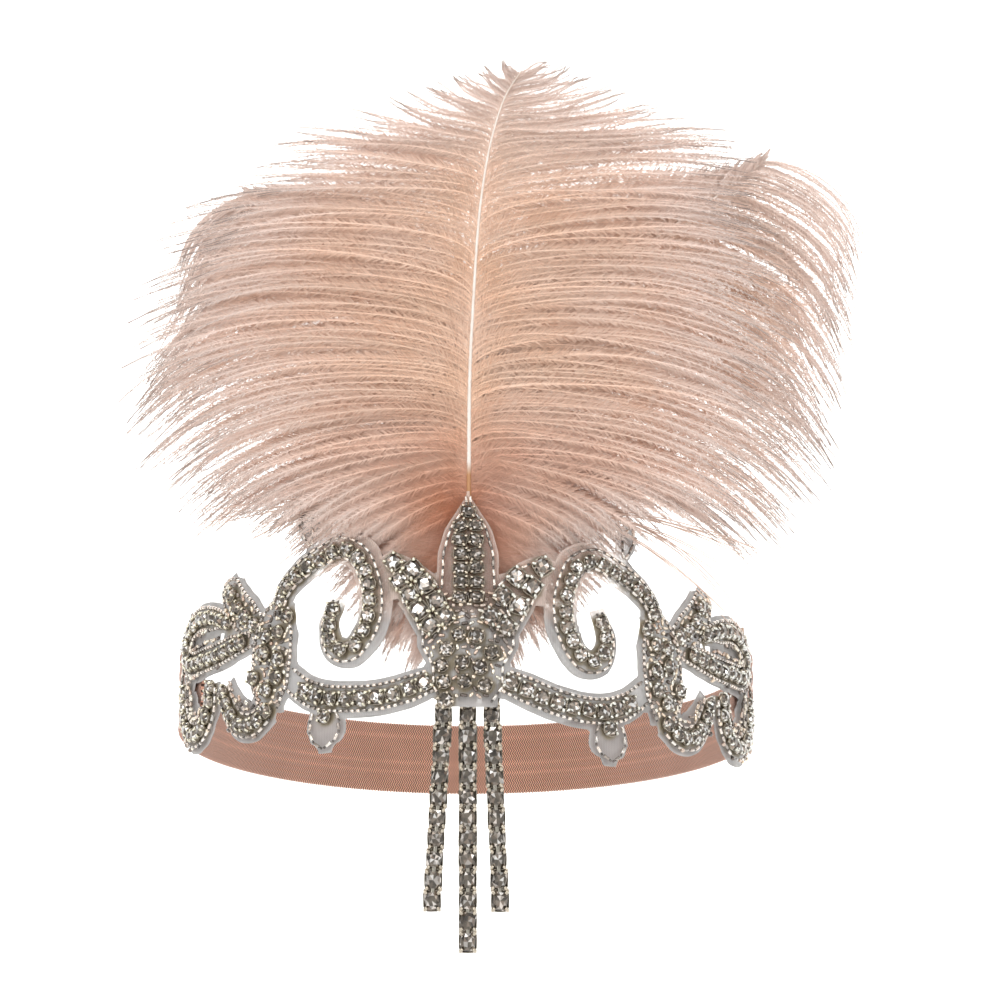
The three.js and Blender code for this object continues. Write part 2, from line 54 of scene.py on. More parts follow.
ELASTIC_WIDTH = 20.0
ELASTIC_THICK = 1.2
ELASTIC_END = 88.0
APPLIQUE_HALF = 100.0
APPLIQUE_RISE = 50.0
APPLIQUE_SHIFT = 1.2
RIGHT_SAG = 3.0
SAG_FROM = 0.1
SAG_TO = 0.35
NET_WIDTH = 10.0
NET_OUT = 2.3  # the organza lies this far from the head
STONE_FOOT = 2.5
STONE_HIGH = 1.9
STONE_SPACE = 0.5
CUP_SIZE = 4.2
CUP_PITCH = 5.0
STRAND_SPACING = 5.6
PLUME_HEIGHT = 147.0
BARB_LENGTH = 0.585 * PLUME_HEIGHT
QUILL_RADIUS = 1.1
QUILL_SPACING = 3.5
QUILL_FOOT = -0.1

# Motifs of the applique: out and up as shares of its half length and rise, and the net's width
# on the line's right and left hand, as shares of NET_WIDTH.
CENTRE_ROUTES = {
    "spike": [
        (0.00, 0.67, 0.04, 0.04), (0.00, 0.59, 0.28, 0.28), (0.00, 0.50, 0.56, 0.56),
        (0.00, 0.38, 0.72, 0.72), (0.00, 0.16, 0.77, 0.77),
    ],
    "heart": [
        (0.00, 0.20, 0.90, 0.90), (0.00, 0.02, 1.20, 1.20), (0.00, -0.08, 1.20, 1.20),
        (0.00, -0.18, 0.95, 0.95), (0.00, -0.28, 0.95, 0.95), (0.00, -0.355, 0.70, 0.70),
    ],
}
SIDE_ROUTES = {
    "petal": [
        (0.190, 0.37, 0.20, 0.20), (0.150, 0.29, 0.40, 0.40), (0.115, 0.19, 0.58, 0.58),
        (0.070, 0.04, 0.60, 0.60),
    ],
    "arm": [
        (0.085, -0.25, 0.40, 0.40), (0.140, -0.29, 0.45, 0.45), (0.210, -0.32, 0.46, 0.46),
        (0.290, -0.32, 0.46, 0.46), (0.360, -0.30, 0.46, 0.46), (0.415, -0.25, 0.42, 0.42),
        (0.460, -0.18, 0.40, 0.40),
    ],
    "bud_drop": [
        (0.350, -0.32, 0.34, 0.34), (0.352, -0.40, 0.52, 0.52), (0.353, -0.47, 0.56, 0.56),
        (0.355, -0.52, 0.42, 0.42), (0.355, -0.55, 0.20, 0.20),
    ],
    "scroll": [
        (0.505, 0.15, 0.34, 0.34), (0.475, 0.27, 0.34, 0.36), (0.420, 0.35, 0.34, 0.40),
        (0.360, 0.40, 0.34, 0.46), (0.312, 0.43, 0.34, 0.50), (0.268, 0.385, 0.34, 0.54),
        (0.243, 0.28, 0.33, 0.54), (0.233, 0.16, 0.32, 0.54), (0.245, 0.03, 0.32, 0.52),
        (0.285, -0.07, 0.30, 0.48), (0.325, -0.05, 0.28, 0.42), (0.342, 0.05, 0.24, 0.34),
        (0.322, 0.17, 0.20, 0.24),
    ],
    "top_bud": [
        (0.395, 0.46, 0.16, 0.16), (0.402, 0.52, 0.28, 0.28), (0.410, 0.58, 0.34, 0.34),
        (0.418, 0.63, 0.18, 0.18),
    ],
    "leaf": [
        (0.694, 0.39, 0.24, 0.24), (0.689, 0.355, 0.50, 0.50), (0.665, 0.26, 0.60, 0.60),
        (0.615, 0.17, 0.58, 0.58), (0.560, 0.09, 0.42, 0.42),
    ],
    "ring": [
        (0.590, 0.06, 0.30, 0.36), (0.660, 0.04, 0.40, 0.40), (0.740, 0.02, 0.55, 0.42),
        (0.830, 0.02, 0.60, 0.44), (0.910, 0.03, 0.60, 0.48), (0.960, 0.09, 0.60, 0.50),
        (0.935, 0.19, 0.55, 0.48), (0.860, 0.24, 0.55, 0.44), (0.770, 0.22, 0.45, 0.40),
        (0.700, 0.17, 0.24, 0.34),
    ],
    "flower": [
        (0.490, 0.20, 0.42, 0.42), (0.510, 0.08, 0.74, 0.74), (0.520, -0.06, 0.80, 0.80),
        (0.525, -0.20, 0.76, 0.76), (0.525, -0.32, 0.44, 0.44),
    ],
    "lower_curl": [
        (0.715, -0.18, 0.36, 0.50), (0.680, -0.29, 0.42, 0.60), (0.635, -0.37, 0.42, 0.70),
        (0.580, -0.38, 0.42, 0.60), (0.535, -0.33, 0.40, 0.40),
    ],
    "end_curl": [
        (0.785, -0.13, 0.50, 0.42), (0.790, -0.25, 0.60, 0.44), (0.845, -0.345, 0.70, 0.46),
        (0.925, -0.32, 0.80, 0.50), (0.975, -0.20, 0.90, 0.52), (0.980, -0.08, 0.80, 0.50),
        (0.960, 0.02, 0.40, 0.44),
    ],
}
# Stones in rows: size, rows side by side, and where along the motif they start and end.
STONE_ROWS = {
    "spike": (3.0, 2, 0.16, 1.0),
    "petal": (4.3, 2, 0.10, 1.0),
    "arm": (3.7, 1, 0.04, 0.84),
    "bud_drop": (3.7, 1, 0.32, 0.32),
    "scroll": (3.7, 1, 0.05, 0.97),
    "leaf": (3.7, 1, 0.22, 0.86),
    "ring": (3.7, 1, 0.07, 1.0),
    "lower_curl": (3.7, 1, 0.0, 1.0),
    "end_curl": (3.7, 1, 0.0, 0.86),
}
# Stones placed one by one: a centre, and places outwards and upwards from it in stone pitches.
STONE_PLACES = {
    "heart": ((0, -0.16), [
        (-1.24, -2.24), (-1.33, -1.24), (-1.43, -0.21), (-1.19, 0.81), (-0.52, 1.62),
        (0.48, 1.52), (1.33, 0.57), (0.64, -0.31), (-0.36, -0.05), (-0.19, -1.19),
        (0.95, -1.33),
    ]),
    "flower": ((0.52, -0.04), [
        (-1.25, 2.05), (-0.55, 1.17), (0.48, 1.10), (0.57, 0.05), (-0.57, -0.38),
        (-0.43, -1.48), (0.33, -2.19), (1.48, -1.29),
    ]),
}
# The strands: top and end places as shares of their spacing, and how many cups each has.
STRANDS = {"left": (-1, -1.55, 11), "middle": (0, 0, 13), "right": (1, 1.4, 11)}

# The plumes: which foot is theirs; the quill's side, back and height as shares of PLUME_HEIGHT;
# how far the barbs' tips come forward; and the vanes, each row where along the quill a barb
# leaves it, its length as a share of BARB_LENGTH, and its slope in degrees, going outwards.
PLUMES = {
    "middle": dict(
        place=0, forward=0.05, fall=[(0.25, 30), (0.55, 42), (0.80, 12), (0.88, -20), (1.0, -14)],
        quill=[
            (0, 0, 0), (0, 0, 0.17), (0.001, 0, 0.29), (0.002, -0.009, 0.46),
            (0.008, -0.018, 0.6), (0.020, -0.048, 0.77), (0.038, -0.079, 0.88),
            (0.062, -0.122, 0.955), (0.092, -0.168, 1.0),
        ],
        left=[(1.0, 0.02, 56), (0.97, 0.055, 46), (0.935, 0.11, 33), (0.906, 0.20, 26),
              (0.885, 0.24, 23), (0.862, 0.33, 17), (0.844, 0.40, 12), (0.81, 0.57, 8),
              (0.76, 0.68, 6), (0.70, 0.84, 3), (0.66, 0.93, 2), (0.6, 1.0, 1),
              (0.5, 1.0, -1), (0.42, 0.92, -5), (0.36, 0.82, -9), (0.3, 0.70, -14)],
        right=[(1.0, 0.04, 30), (0.975, 0.09, 22), (0.925, 0.25, 17), (0.905, 0.32, 13),
               (0.885, 0.40, 9), (0.84, 0.62, 7), (0.8, 0.75, 6), (0.7, 0.86, 3),
               (0.6, 0.96, -2), (0.5, 1.0, -6), (0.4, 0.95, -10), (0.3, 0.80, -15)],
        left_down=[(0.33, 0.70, -17), (0.27, 0.46, -24), (0.21, 0.32, -34), (0.14, 0.30, -44),
                   (0.07, 0.26, -52)],
        right_down=[(0.33, 0.66, -20), (0.27, 0.44, -26), (0.21, 0.30, -36), (0.14, 0.26, -46),
                    (0.07, 0.24, -54)],
    ),
    "left": dict(
        place=-1, forward=-0.02, fall=[(0.2, 30), (0.6, 46), (1.0, 60)],
        quill=[
            (0, 0, 0), (-0.006, 0.030, 0.14), (-0.024, 0.058, 0.29), (-0.054, 0.082, 0.44),
            (-0.094, 0.092, 0.59), (-0.166, 0.088, 0.72), (-0.266, 0.080, 0.785),
            (-0.361, 0.076, 0.795),
        ],
        left=[(1.0, 0.27, -40), (0.9, 0.48, -35), (0.74, 0.76, -27), (0.56, 0.94, -16),
              (0.36, 0.76, -19), (0.29, 0.46, -4)],
        right=[(1.0, 0.05, 160), (0.85, 0.12, 146), (0.7, 0.28, 118), (0.52, 0.48, 84),
               (0.36, 0.50, 60)],
        left_down=[(0.34, 0.56, -14), (0.26, 0.46, -22), (0.18, 0.34, -34), (0.10, 0.28, -46)],
        right_down=[(0.40, 0.44, 42), (0.30, 0.36, 22), (0.22, 0.26, 6), (0.14, 0.20, -24)],
        left_over=[(0.36, 0.60, -21), (0.26, 0.50, -17)],
    ),
    "right": dict(
        place=1, forward=-0.02, fall=[(0.2, 30), (0.6, 46), (1.0, 64)],
        quill=[
            (0, 0, 0), (0.010, 0.024, 0.14), (0.038, 0.041, 0.29), (0.086, 0.058, 0.42),
            (0.146, 0.065, 0.545), (0.236, 0.062, 0.665), (0.346, 0.050, 0.755),
            (0.446, 0.029, 0.825), (0.488, 0.015, 0.86),
        ],
        left=[(1.0, 0.05, 138), (0.85, 0.16, 118), (0.7, 0.30, 102), (0.52, 0.46, 82),
              (0.36, 0.50, 60)],
        right=[(1.0, 0.36, -34), (0.86, 0.60, -36), (0.7, 0.80, -33), (0.52, 0.92, -24),
               (0.34, 0.84, -23), (0.28, 0.46, -6)],
        left_down=[(0.40, 0.44, 42), (0.30, 0.36, 22), (0.22, 0.26, 6), (0.14, 0.20, -24)],
        right_down=[(0.34, 0.56, -14), (0.26, 0.44, -22), (0.18, 0.34, -34), (0.10, 0.26, -46)],
    ),
}

# The band's surface.

angle_table = np.linspace(-2 * math.pi, 2 * math.pi, 11521)
ring_steps = np.hypot(
    HALF_WIDTH * np.cos(angle_table[:-1] + math.pi / 5760),
    HALF_DEPTH * np.sin(angle_table[:-1] + math.pi / 5760),
) * np.diff(angle_table)
length_table = np.concatenate([[0], np.cumsum(ring_steps)])
length_table -= length_table[len(angle_table) // 2]
HALF_ROUND = np.interp(math.pi, angle_table, length_table)


def leaned(vectors):
    """Vectors turned about X, so that the ring's brow side rises: y and z swap shares by LEAN."""
    x, y, z = vectors[..., 0], vectors[..., 1], vectors[..., 2]
    cos, sin = math.cos(LEAN), math.sin(LEAN)
    return np.stack([x, y * cos + z * sin, -y * sin + z * cos], -1)


def outward_at(along):
    """The ellipse's normal, (sin t / a, -cos t / b), at the angle t of a length along the band."""
    angle = np.interp(along, length_table, angle_table)
    flat = np.stack([np.sin(angle) / HALF_WIDTH, -np.cos(angle) / HALF_DEPTH, 0 * angle], -1)
    return leaned(flat / np.linalg.norm(flat, axis=-1, keepdims=True))


def on_head(along, up, out):
    """The ellipse's point (a sin t, -b cos t), leaned back, plus up along the band's own up axis
    and out along the normal."""
    along, up, out = np.broadcast_arrays(
        np.asarray(along, float), np.asarray(up, float), np.asarray(out, float)
    )
    angle = np.interp(along, length_table, angle_table)
    ring = np.stack([HALF_WIDTH * np.sin(angle), -HALF_DEPTH * np.cos(angle), 0 * angle], -1)
    return leaned(ring) + up[..., None] * UP_AXIS + out[..., None] * outward_at(along)


def on_band(out, up, side):
    """A motif's place as (along, up): shares times the applique's sizes, less the right's sag."""
    out, up = np.asarray(out, float), np.asarray(up, float)
    part = np.clip((out - SAG_FROM) / (SAG_TO - SAG_FROM), 0, 1)
    sag = RIGHT_SAG * part * part * (3 - 2 * part) if side > 0 else 0
    return np.stack([APPLIQUE_SHIFT + side * out * APPLIQUE_HALF, up * APPLIQUE_RISE - sag], -1)


# Curves.


def smooth_curve(points, count):
    """A curve through the points: between two of them a cubic, whose slopes come from their
    neighbours weighted by the square roots of the distances."""
    points = np.asarray(points, float)
    padded = np.vstack([2 * points[0] - points[1], points, 2 * points[-1] - points[-2]])
    at = np.linspace(0, len(points) - 1, count)
    first = np.minimum(at.astype(int), len(points) - 2)
    u = (at - first)[:, None]
    a, b, c, d = (padded[first + step] for step in range(4))

    def gap(start, end):
        return np.maximum(np.linalg.norm(end - start, axis=1), 1e-8)[:, None] ** 0.5

    ab, bc, cd = gap(a, b), gap(b, c), gap(c, d)
    leave = ((b - a) / ab - (c - a) / (ab + bc) + (c - b) / bc) * bc
    arrive = ((c - b) / bc - (d - b) / (bc + cd) + (d - c) / cd) * bc
    return (b + leave * u + (3 * (c - b) - 2 * leave - arrive) * u**2
            + (2 * (b - c) + leave + arrive) * u**3)


def lengths_of(curve):
    """The running length of a line of points."""
    steps = np.linalg.norm(np.diff(curve, axis=0), axis=1)
    return np.concatenate([[0], np.cumsum(steps)])


def along_curve(curve, lengths):
    """Points and directions at some lengths along a line of points, straight between them."""
    run = lengths_of(curve)
    slopes = np.gradient(curve, run, axis=0)
    point = np.stack([np.interp(lengths, run, column) for column in curve.T], -1)
    slope = np.stack([np.interp(lengths, run, column) for column in slopes.T], -1)
    return point, slope / np.linalg.norm(slope, axis=-1, keepdims=True)


def unit(vectors):
    return vectors / np.maximum(np.linalg.norm(vectors, axis=-1, keepdims=True), 1e-9)


# Meshes.


def add_mesh(name, points, face_sets, material, smooth=True, uv=None, tint=None, corner_tint=None):
    """A piece from points in millimetres and arrays of faces, as its own object at the origin."""
    face_sets = [np.asarray(faces, np.int32) for faces in face_sets]
    corners = np.concatenate([faces.ravel() for faces in face_sets])
    sizes = np.concatenate([np.full(len(faces), faces.shape[1]) for faces in face_sets])
    starts = np.concatenate([[0], np.cumsum(sizes)[:-1]])
    mesh = bpy.data.meshes.new(name)
    mesh.vertices.add(len(points))
    mesh.vertices.foreach_set("co", (np.asarray(points, np.float32) * 0.001).ravel())
    mesh.loops.add(len(corners))
    mesh.loops.foreach_set("vertex_index", corners)
    mesh.polygons.add(len(sizes))
    mesh.polygons.foreach_set("loop_start", starts.astype(np.int32))
    mesh.polygons.foreach_set("use_smooth", np.full(len(sizes), smooth))
    mesh.update(calc_edges=True)
    if uv is not None:
        layer = mesh.uv_layers.new(name="cloth")
        layer.data.foreach_set("uv", np.asarray(uv, np.float32)[corners].ravel())
    if tint is not None or corner_tint is not None:
        domain = "POINT" if corner_tint is None else "CORNER"
        colours = tint if corner_tint is None else corner_tint
        rgba = np.concatenate([colours, np.ones((len(colours), 1))], 1).astype(np.float32)
        mesh.attributes.new("tint", "FLOAT_COLOR", domain).data.foreach_set("color", rgba.ravel())
    mesh.materials.append(material)
    piece = bpy.data.objects.new(name, mesh)
    bpy.context.scene.collection.objects.link(piece)
    return piece


def grid_faces(rows, columns, closed=False):
    """The quads of a grid of points, row after row; closed joins each row's ends."""
    row = np.arange(rows - 1)[:, None] * columns
    column = np.arange(columns if closed else columns - 1)[None, :]
    after = (column + 1) % columns
    quads = [row + column, row + after, row + columns + after, row + columns + column]
    return np.stack([corner.ravel() for corner in np.broadcast_arrays(*quads)], 1)


def turned_shape(profile, sides):
    """A profile of (radius, height) turned about the vertical axis, closed by a pole at each end.
    Point (i, j) is (r cos t, r sin t, z) with t = j / sides of a turn."""
    turn = np.arange(sides) * 2 * math.pi / sides
    radius, height = np.array(profile, float).T
    ring = np.stack([
        radius[:, None] * np.cos(turn), radius[:, None] * np.sin(turn),
        height[:, None] + 0 * turn,
    ], -1).reshape(-1, 3)
    last = len(ring)
    points = np.vstack([ring, [[0, 0, height[0]]], [[0, 0, height[-1]]]])
    side = np.arange(sides)
    bottom = np.stack([np.full(sides, last), (side + 1) % sides, side], 1)
    base = (len(profile) - 1) * sides
    top = np.stack([np.full(sides, last + 1), base + side, base + (side + 1) % sides], 1)
    return points, [grid_faces(len(profile), sides, closed=True), np.vstack([bottom, top])]


def swept_tube(line, radii, sides, across):
    """A round profile carried along a line: at each point a ring of radius r in the plane of
    across and the direction's cross with it, with a pole at each end."""
    ahead = unit(np.gradient(line, axis=0))
    first = unit(np.cross(np.broadcast_to(across, line.shape), ahead))
    second = np.cross(ahead, first)
    turn = np.arange(sides) * 2 * math.pi / sides
    rings = line[:, None] + radii[:, None, None] * (
        first[:, None] * np.cos(turn)[None, :, None] + second[:, None] * np.sin(turn)[None, :, None]
    )
    count = len(line)
    points = np.vstack([rings.reshape(-1, 3), line[:1], line[-1:]])
    side = np.arange(sides)
    start = np.stack([np.full(sides, count * sides), (side + 1) % sides, side], 1)
    base = (count - 1) * sides
    end = np.stack([np.full(sides, count * sides + 1), base + side, base + (side + 1) % sides], 1)
    return points, [grid_faces(count, sides, closed=True), np.vstack([start, end])]


def copies(shape, faces, places, frames, scales):
    """A shape at many places: each point is place + scale * (x right + y forward + z out), where
    a frame's rows are right, forward and out."""
    points = places[:, None] + scales[:, None, None] * np.einsum("pk,nkc->npc", shape, frames)
    shift = (np.arange(len(places)) * len(shape))[:, None, None]
    return points.reshape(-1, 3), [(each[None] + shift).reshape(-1, each.shape[1]) for each in faces]


def together(parts):
    """Several (points, face sets) as one, with the later faces' numbers moved on."""
    points = np.vstack([part[0] for part in parts])
    shifts = np.cumsum([0] + [len(part[0]) for part in parts[:-1]])
    faces = [each + shift for part, shift in zip(parts, shifts) for each in part[1]]
    return points, faces


# Node groups.


def new_group(name, inputs, outputs):
    group = bpy.data.node_groups.new(name, "ShaderNodeTree")
    for title, kind, value in inputs:
        group.interface.new_socket(title, in_out="INPUT", socket_type=kind).default_value = value
    for title, kind in outputs:
        group.interface.new_socket(title, in_out="OUTPUT", socket_type=kind)
    nodes = group.nodes
    return group, nodes.new("NodeGroupInput"), nodes.new("NodeGroupOutput")


def math_node(tree, operation, first, second=None, clamp=False):
    """A Math node of one operation, whose inputs are numbers or sockets."""
    node = tree.nodes.new("ShaderNodeMath")
    node.operation = operation
    node.use_clamp = clamp
    for socket, value in zip(node.inputs, (first, second)):
        if isinstance(value, (int, float)):
            socket.default_value = value
        elif value is not None:
            tree.links.new(value, socket)
    return node.outputs[0]


def mixed_colour(tree, factor, first, second, blend="MIX"):
    """A Mix node for colours, whose inputs are values or sockets."""
    node = tree.nodes.new("ShaderNodeMix")
    node.data_type = "RGBA"
    node.blend_type = blend
    for socket, value in ((node.inputs[0], factor), (node.inputs[6], first), (node.inputs[7], second)):
        if isinstance(value, bpy.types.NodeSocket):
            tree.links.new(value, socket)
        elif isinstance(value, (int, float)):
            socket.default_value = value
        else:
            socket.default_value = (*value, 1)
    return node.outputs[2]


def patchy_colour_group():
    """Colour that drifts towards a second one in soft patches of noise on Object coordinates."""
    group, given, result = new_group("patchy colour", [
        ("Colour", "NodeSocketColor", (0.8, 0.8, 0.8, 1)),
        ("Patch", "NodeSocketColor", (0.5, 0.5, 0.5, 1)),
        ("Scale", "NodeSocketFloat", 100.0),
        ("Amount", "NodeSocketFloat", 0.5),
    ], [("Colour", "NodeSocketColor"), ("Mask", "NodeSocketFloat")])
    place = group.nodes.new("ShaderNodeTexCoord")
    noise = group.nodes.new("ShaderNodeTexNoise")
    noise.inputs["Detail"].default_value = 4
    group.links.new(place.outputs["Object"], noise.inputs["Vector"])
    group.links.new(given.outputs["Scale"], noise.inputs["Scale"])
    spread = math_node(group, "MULTIPLY_ADD", noise.outputs["Fac"], 2.4)
    spread.node.inputs[2].default_value = -0.7
    spread.node.use_clamp = True
    part = math_node(group, "MULTIPLY", spread, given.outputs["Amount"])
    colour = mixed_colour(group, part, given.outputs["Colour"], given.outputs["Patch"])
    group.links.new(colour, result.inputs["Colour"])
    group.links.new(spread, result.inputs["Mask"])
    return group


def chevron_weave_group():
    """Threads on the cloth's own UV, in millimetres: the phase runs along the cloth and zigzags
    across it, so the threads lean one way and then the other. No zigzag gives plain threads."""
    group, given, result = new_group("chevron weave", [
        ("Thread", "NodeSocketFloat", 1.0),
        ("Zigzag", "NodeSocketFloat", 1.5),
        ("Lean", "NodeSocketFloat", 1.0),
    ], [("Height", "NodeSocketFloat")])
    place = group.nodes.new("ShaderNodeUVMap")
    place.uv_map = "cloth"
    split = group.nodes.new("ShaderNodeSeparateXYZ")
    group.links.new(place.outputs["UV"], split.inputs[0])
    zigzag = math_node(group, "PINGPONG", split.outputs["Y"], given.outputs["Zigzag"])
    phase = math_node(group, "ADD", split.outputs["X"],
                      math_node(group, "MULTIPLY", zigzag, given.outputs["Lean"]))
    turns = math_node(group, "MULTIPLY", math_node(group, "DIVIDE", phase, given.outputs["Thread"]),
                      2 * math.pi)
    wave = math_node(group, "SINE", turns)
    group.links.new(math_node(group, "MULTIPLY_ADD", wave, 0.5), result.inputs["Height"])
    wave_node = result.inputs["Height"].links[0].from_node
    wave_node.inputs[2].default_value = 0.5
    return group


def tarnish_group():
    """Small scratches and dull spots: a roughness that noise raises from its low to its high."""
    group, given, result = new_group("tarnish", [
        ("Scale", "NodeSocketFloat", 900.0),
        ("Low", "NodeSocketFloat", 0.12),
        ("High", "NodeSocketFloat", 0.4),
    ], [("Roughness", "NodeSocketFloat"), ("Mask", "NodeSocketFloat")])
    place = group.nodes.new("ShaderNodeTexCoord")
    noise = group.nodes.new("ShaderNodeTexNoise")
    noise.inputs["Detail"].default_value = 3
    group.links.new(place.outputs["Object"], noise.inputs["Vector"])
    group.links.new(given.outputs["Scale"], noise.inputs["Scale"])
    mask = math_node(group, "MULTIPLY_ADD", noise.outputs["Fac"], 2.0)
    mask.node.inputs[2].default_value = -0.5
    mask.node.use_clamp = True
    step = math_node(group, "SUBTRACT", given.outputs["High"], given.outputs["Low"])
    rough = math_node(group, "ADD", given.outputs["Low"], math_node(group, "MULTIPLY", mask, step))
    group.links.new(rough, result.inputs["Roughness"])
    group.links.new(mask, result.inputs["Mask"])
    return group


patchy_colour = patchy_colour_group()
chevron_weave = chevron_weave_group()
tarnish = tarnish_group()


# Materials.


def new_material(name, colour, **sockets):
    """A material whose shader holds the plain values; spaces in socket names are underscores."""
    material = bpy.data.materials.new(name)
    material.use_nodes = True
    shader = material.node_tree.nodes["Principled BSDF"]
    shader.inputs["Base Color"].default_value = (*colour, 1)
    for title, value in sockets.items():
        shader.inputs[title.replace("_", " ")].default_value = value
    return material, material.node_tree, shader


def place_group(tree, group, **values):
    node = tree.nodes.new("ShaderNodeGroup")
    node.node_tree = group
    for title, value in values.items():
        if isinstance(value, bpy.types.NodeSocket):
            tree.links.new(value, node.inputs[title])
        elif isinstance(value, tuple):
            node.inputs[title].default_value = (*value, 1)
        else:
            node.inputs[title].default_value = value
    return node


def tint_of(tree):
    node = tree.nodes.new("ShaderNodeAttribute")
    node.attribute_name = "tint"
    return node.outputs["Color"]


def bumped(tree, shader, height, distance, strength=1.0):
    """A Bump node on the shader's normal; distance is the height's full depth in metres."""
    bump = tree.nodes.new("ShaderNodeBump")
    bump.inputs["Distance"].default_value = distance
    bump.inputs["Strength"].default_value = strength
    tree.links.new(height, bump.inputs["Height"])
    tree.links.new(bump.outputs["Normal"], shader.inputs["Normal"])


def barb_material():
    """Soft dyed barbs: the tint of each barb, with drifts towards a paler pink."""
    material, tree, shader = new_material("ostrich barbs", (0.8, 0.5, 0.4), Roughness=0.8)
    shader.inputs["Sheen Weight"].default_value = 0.25
    shader.inputs["Sheen Roughness"].default_value = 0.5
    shader.inputs["Specular IOR Level"].default_value = 0.2
    patch = place_group(tree, patchy_colour, Colour=tint_of(tree), Patch=(0.90, 0.74, 0.66),
                        Scale=55.0, Amount=0.35)
    tree.links.new(patch.outputs["Colour"], shader.inputs["Base Color"])
    return material


def quill_material():
    """The shaft: horn that is amber below and near-white above, with fine patchy bumps."""
    material, tree, shader = new_material("quill horn", (0.85, 0.75, 0.65), Roughness=0.42)
    patch = place_group(tree, patchy_colour, Colour=tint_of(tree), Patch=(0.55, 0.36, 0.22),
                        Scale=240.0, Amount=0.25)
    tree.links.new(patch.outputs["Colour"], shader.inputs["Base Color"])
    bumped(tree, shader, patch.outputs["Mask"], 0.0001, 0.4)
    return material


def organza_material():
    """Sheer net: its alpha follows two crossed sets of threads. The tint's red is the denser rim,
    its green the part round and under the stones, which sewing thread and glue fill and darken,
    its darkening partly painted shade among the stones, and its blue the part with a single,
    paler layer."""
    material, tree, shader = new_material("sheer organza", (0.86, 0.83, 0.80), Roughness=0.5)
    shader.inputs["Sheen Weight"].default_value = 0.3
    threads = place_group(tree, chevron_weave, Thread=0.45, Zigzag=0.22, Lean=1.0)
    patch = place_group(tree, patchy_colour, Colour=(0.39, 0.375, 0.37), Patch=(0.56, 0.53, 0.52),
                        Scale=160.0, Amount=0.8)
    split = tree.nodes.new("ShaderNodeSeparateColor")
    tree.links.new(tint_of(tree), split.inputs[0])
    rim, sewn_and_shaded, single = split.outputs
    alpha = math_node(tree, "MULTIPLY_ADD", threads.outputs["Height"], 0.16)
    alpha.node.inputs[2].default_value = 0.60
    denser = math_node(tree, "ADD", math_node(tree, "MULTIPLY", rim, 0.3),
                       math_node(tree, "MULTIPLY", sewn_and_shaded, 0.28))
    thinner = math_node(tree, "MULTIPLY", single, -0.50)
    alpha = math_node(tree, "ADD", alpha, math_node(tree, "ADD", denser, thinner), clamp=True)
    tree.links.new(alpha, shader.inputs["Alpha"])
    colour = mixed_colour(tree, single, patch.outputs["Colour"], (0.90, 0.74, 0.66))
    # Round the stones the net goes olive: sewing thread and glue, and painted shade among the stones.
    colour = mixed_colour(tree, sewn_and_shaded, colour, (0.33, 0.27, 0.18))
    tree.links.new(colour, shader.inputs["Base Color"])
    bumped(tree, shader, threads.outputs["Height"], 0.00005, 0.5)
    return material


def gem_material():
    """Foiled glass: each facet's tint is a painted reflection of what the foil throws back, under a
    hard gloss.
    """
    material, tree, shader = new_material("foiled glass", (0.8, 0.78, 0.72), Roughness=0.06)
    shader.inputs["Metallic"].default_value = 0.75
    shader.inputs["Coat Weight"].default_value = 1.0
    shader.inputs["Coat Roughness"].default_value = 0.03
    dull = place_group(tree, tarnish, Scale=700.0, Low=0.03, High=0.14)
    patch = place_group(tree, patchy_colour, Colour=tint_of(tree), Patch=(0.42, 0.36, 0.28),
                        Scale=500.0, Amount=0.3)
    tree.links.new(dull.outputs["Roughness"], shader.inputs["Roughness"])
    tree.links.new(patch.outputs["Colour"], shader.inputs["Base Color"])
    return material


def silver_material(name, low, high):
    """Plated metal in each point's tint, with small dull spots and darker patches."""
    material, tree, shader = new_material(name, (0.8, 0.77, 0.7), Metallic=1.0, Roughness=0.25)
    dull = place_group(tree, tarnish, Scale=900.0, Low=low, High=high)
    patch = place_group(tree, patchy_colour, Colour=tint_of(tree), Patch=(0.32, 0.30, 0.26),
                        Scale=420.0, Amount=0.5)
    tree.links.new(dull.outputs["Roughness"], shader.inputs["Roughness"])
    tree.links.new(patch.outputs["Colour"], shader.inputs["Base Color"])
    return material


def bead_material():
    """Silver-lined glass beads: a tint for each, a bore darkened as painted shade, and a glassy coat.
    """
    material, tree, shader = new_material("silver-lined beads", (0.85, 0.82, 0.80), Metallic=0.85)
    shader.inputs["Coat Weight"].default_value = 1.0
    shader.inputs["Coat Roughness"].default_value = 0.04
    dull = place_group(tree, tarnish, Scale=800.0, Low=0.10, High=0.3)
    patch = place_group(tree, patchy_colour, Colour=tint_of(tree), Patch=(0.50, 0.42, 0.38),
                        Scale=380.0, Amount=0.35)
    tree.links.new(dull.outputs["Roughness"], shader.inputs["Roughness"])
    tree.links.new(patch.outputs["Colour"], shader.inputs["Base Color"])
    return material


def elastic_material():
    """Dusty rose knit: chevron threads raise the surface, with painted shade between them and painted
    highlight on them.
    """
    material, tree, shader = new_material("rose elastic", (0.55, 0.27, 0.20), Roughness=0.85)
    shader.inputs["Sheen Weight"].default_value = 0.35
    shader.inputs["Sheen Roughness"].default_value = 0.4
    threads = place_group(tree, chevron_weave, Thread=0.7, Zigzag=0.8, Lean=0.8)
    patch = place_group(tree, patchy_colour, Colour=tint_of(tree), Patch=(0.47, 0.245, 0.175),
                        Scale=90.0, Amount=0.5)
    # Painted shade and highlight: near-black in the grooves between the threads, over-bright on their
    # crests.
    shade = mixed_colour(tree, threads.outputs["Height"], (0.06, 0.05, 0.04), (1.80, 1.80, 1.76))
    colour = mixed_colour(tree, 1.0, patch.outputs["Colour"], shade, "MULTIPLY")
    tree.links.new(colour, shader.inputs["Base Color"])
    bumped(tree, shader, threads.outputs["Height"], 0.0003, 0.8)
    return material


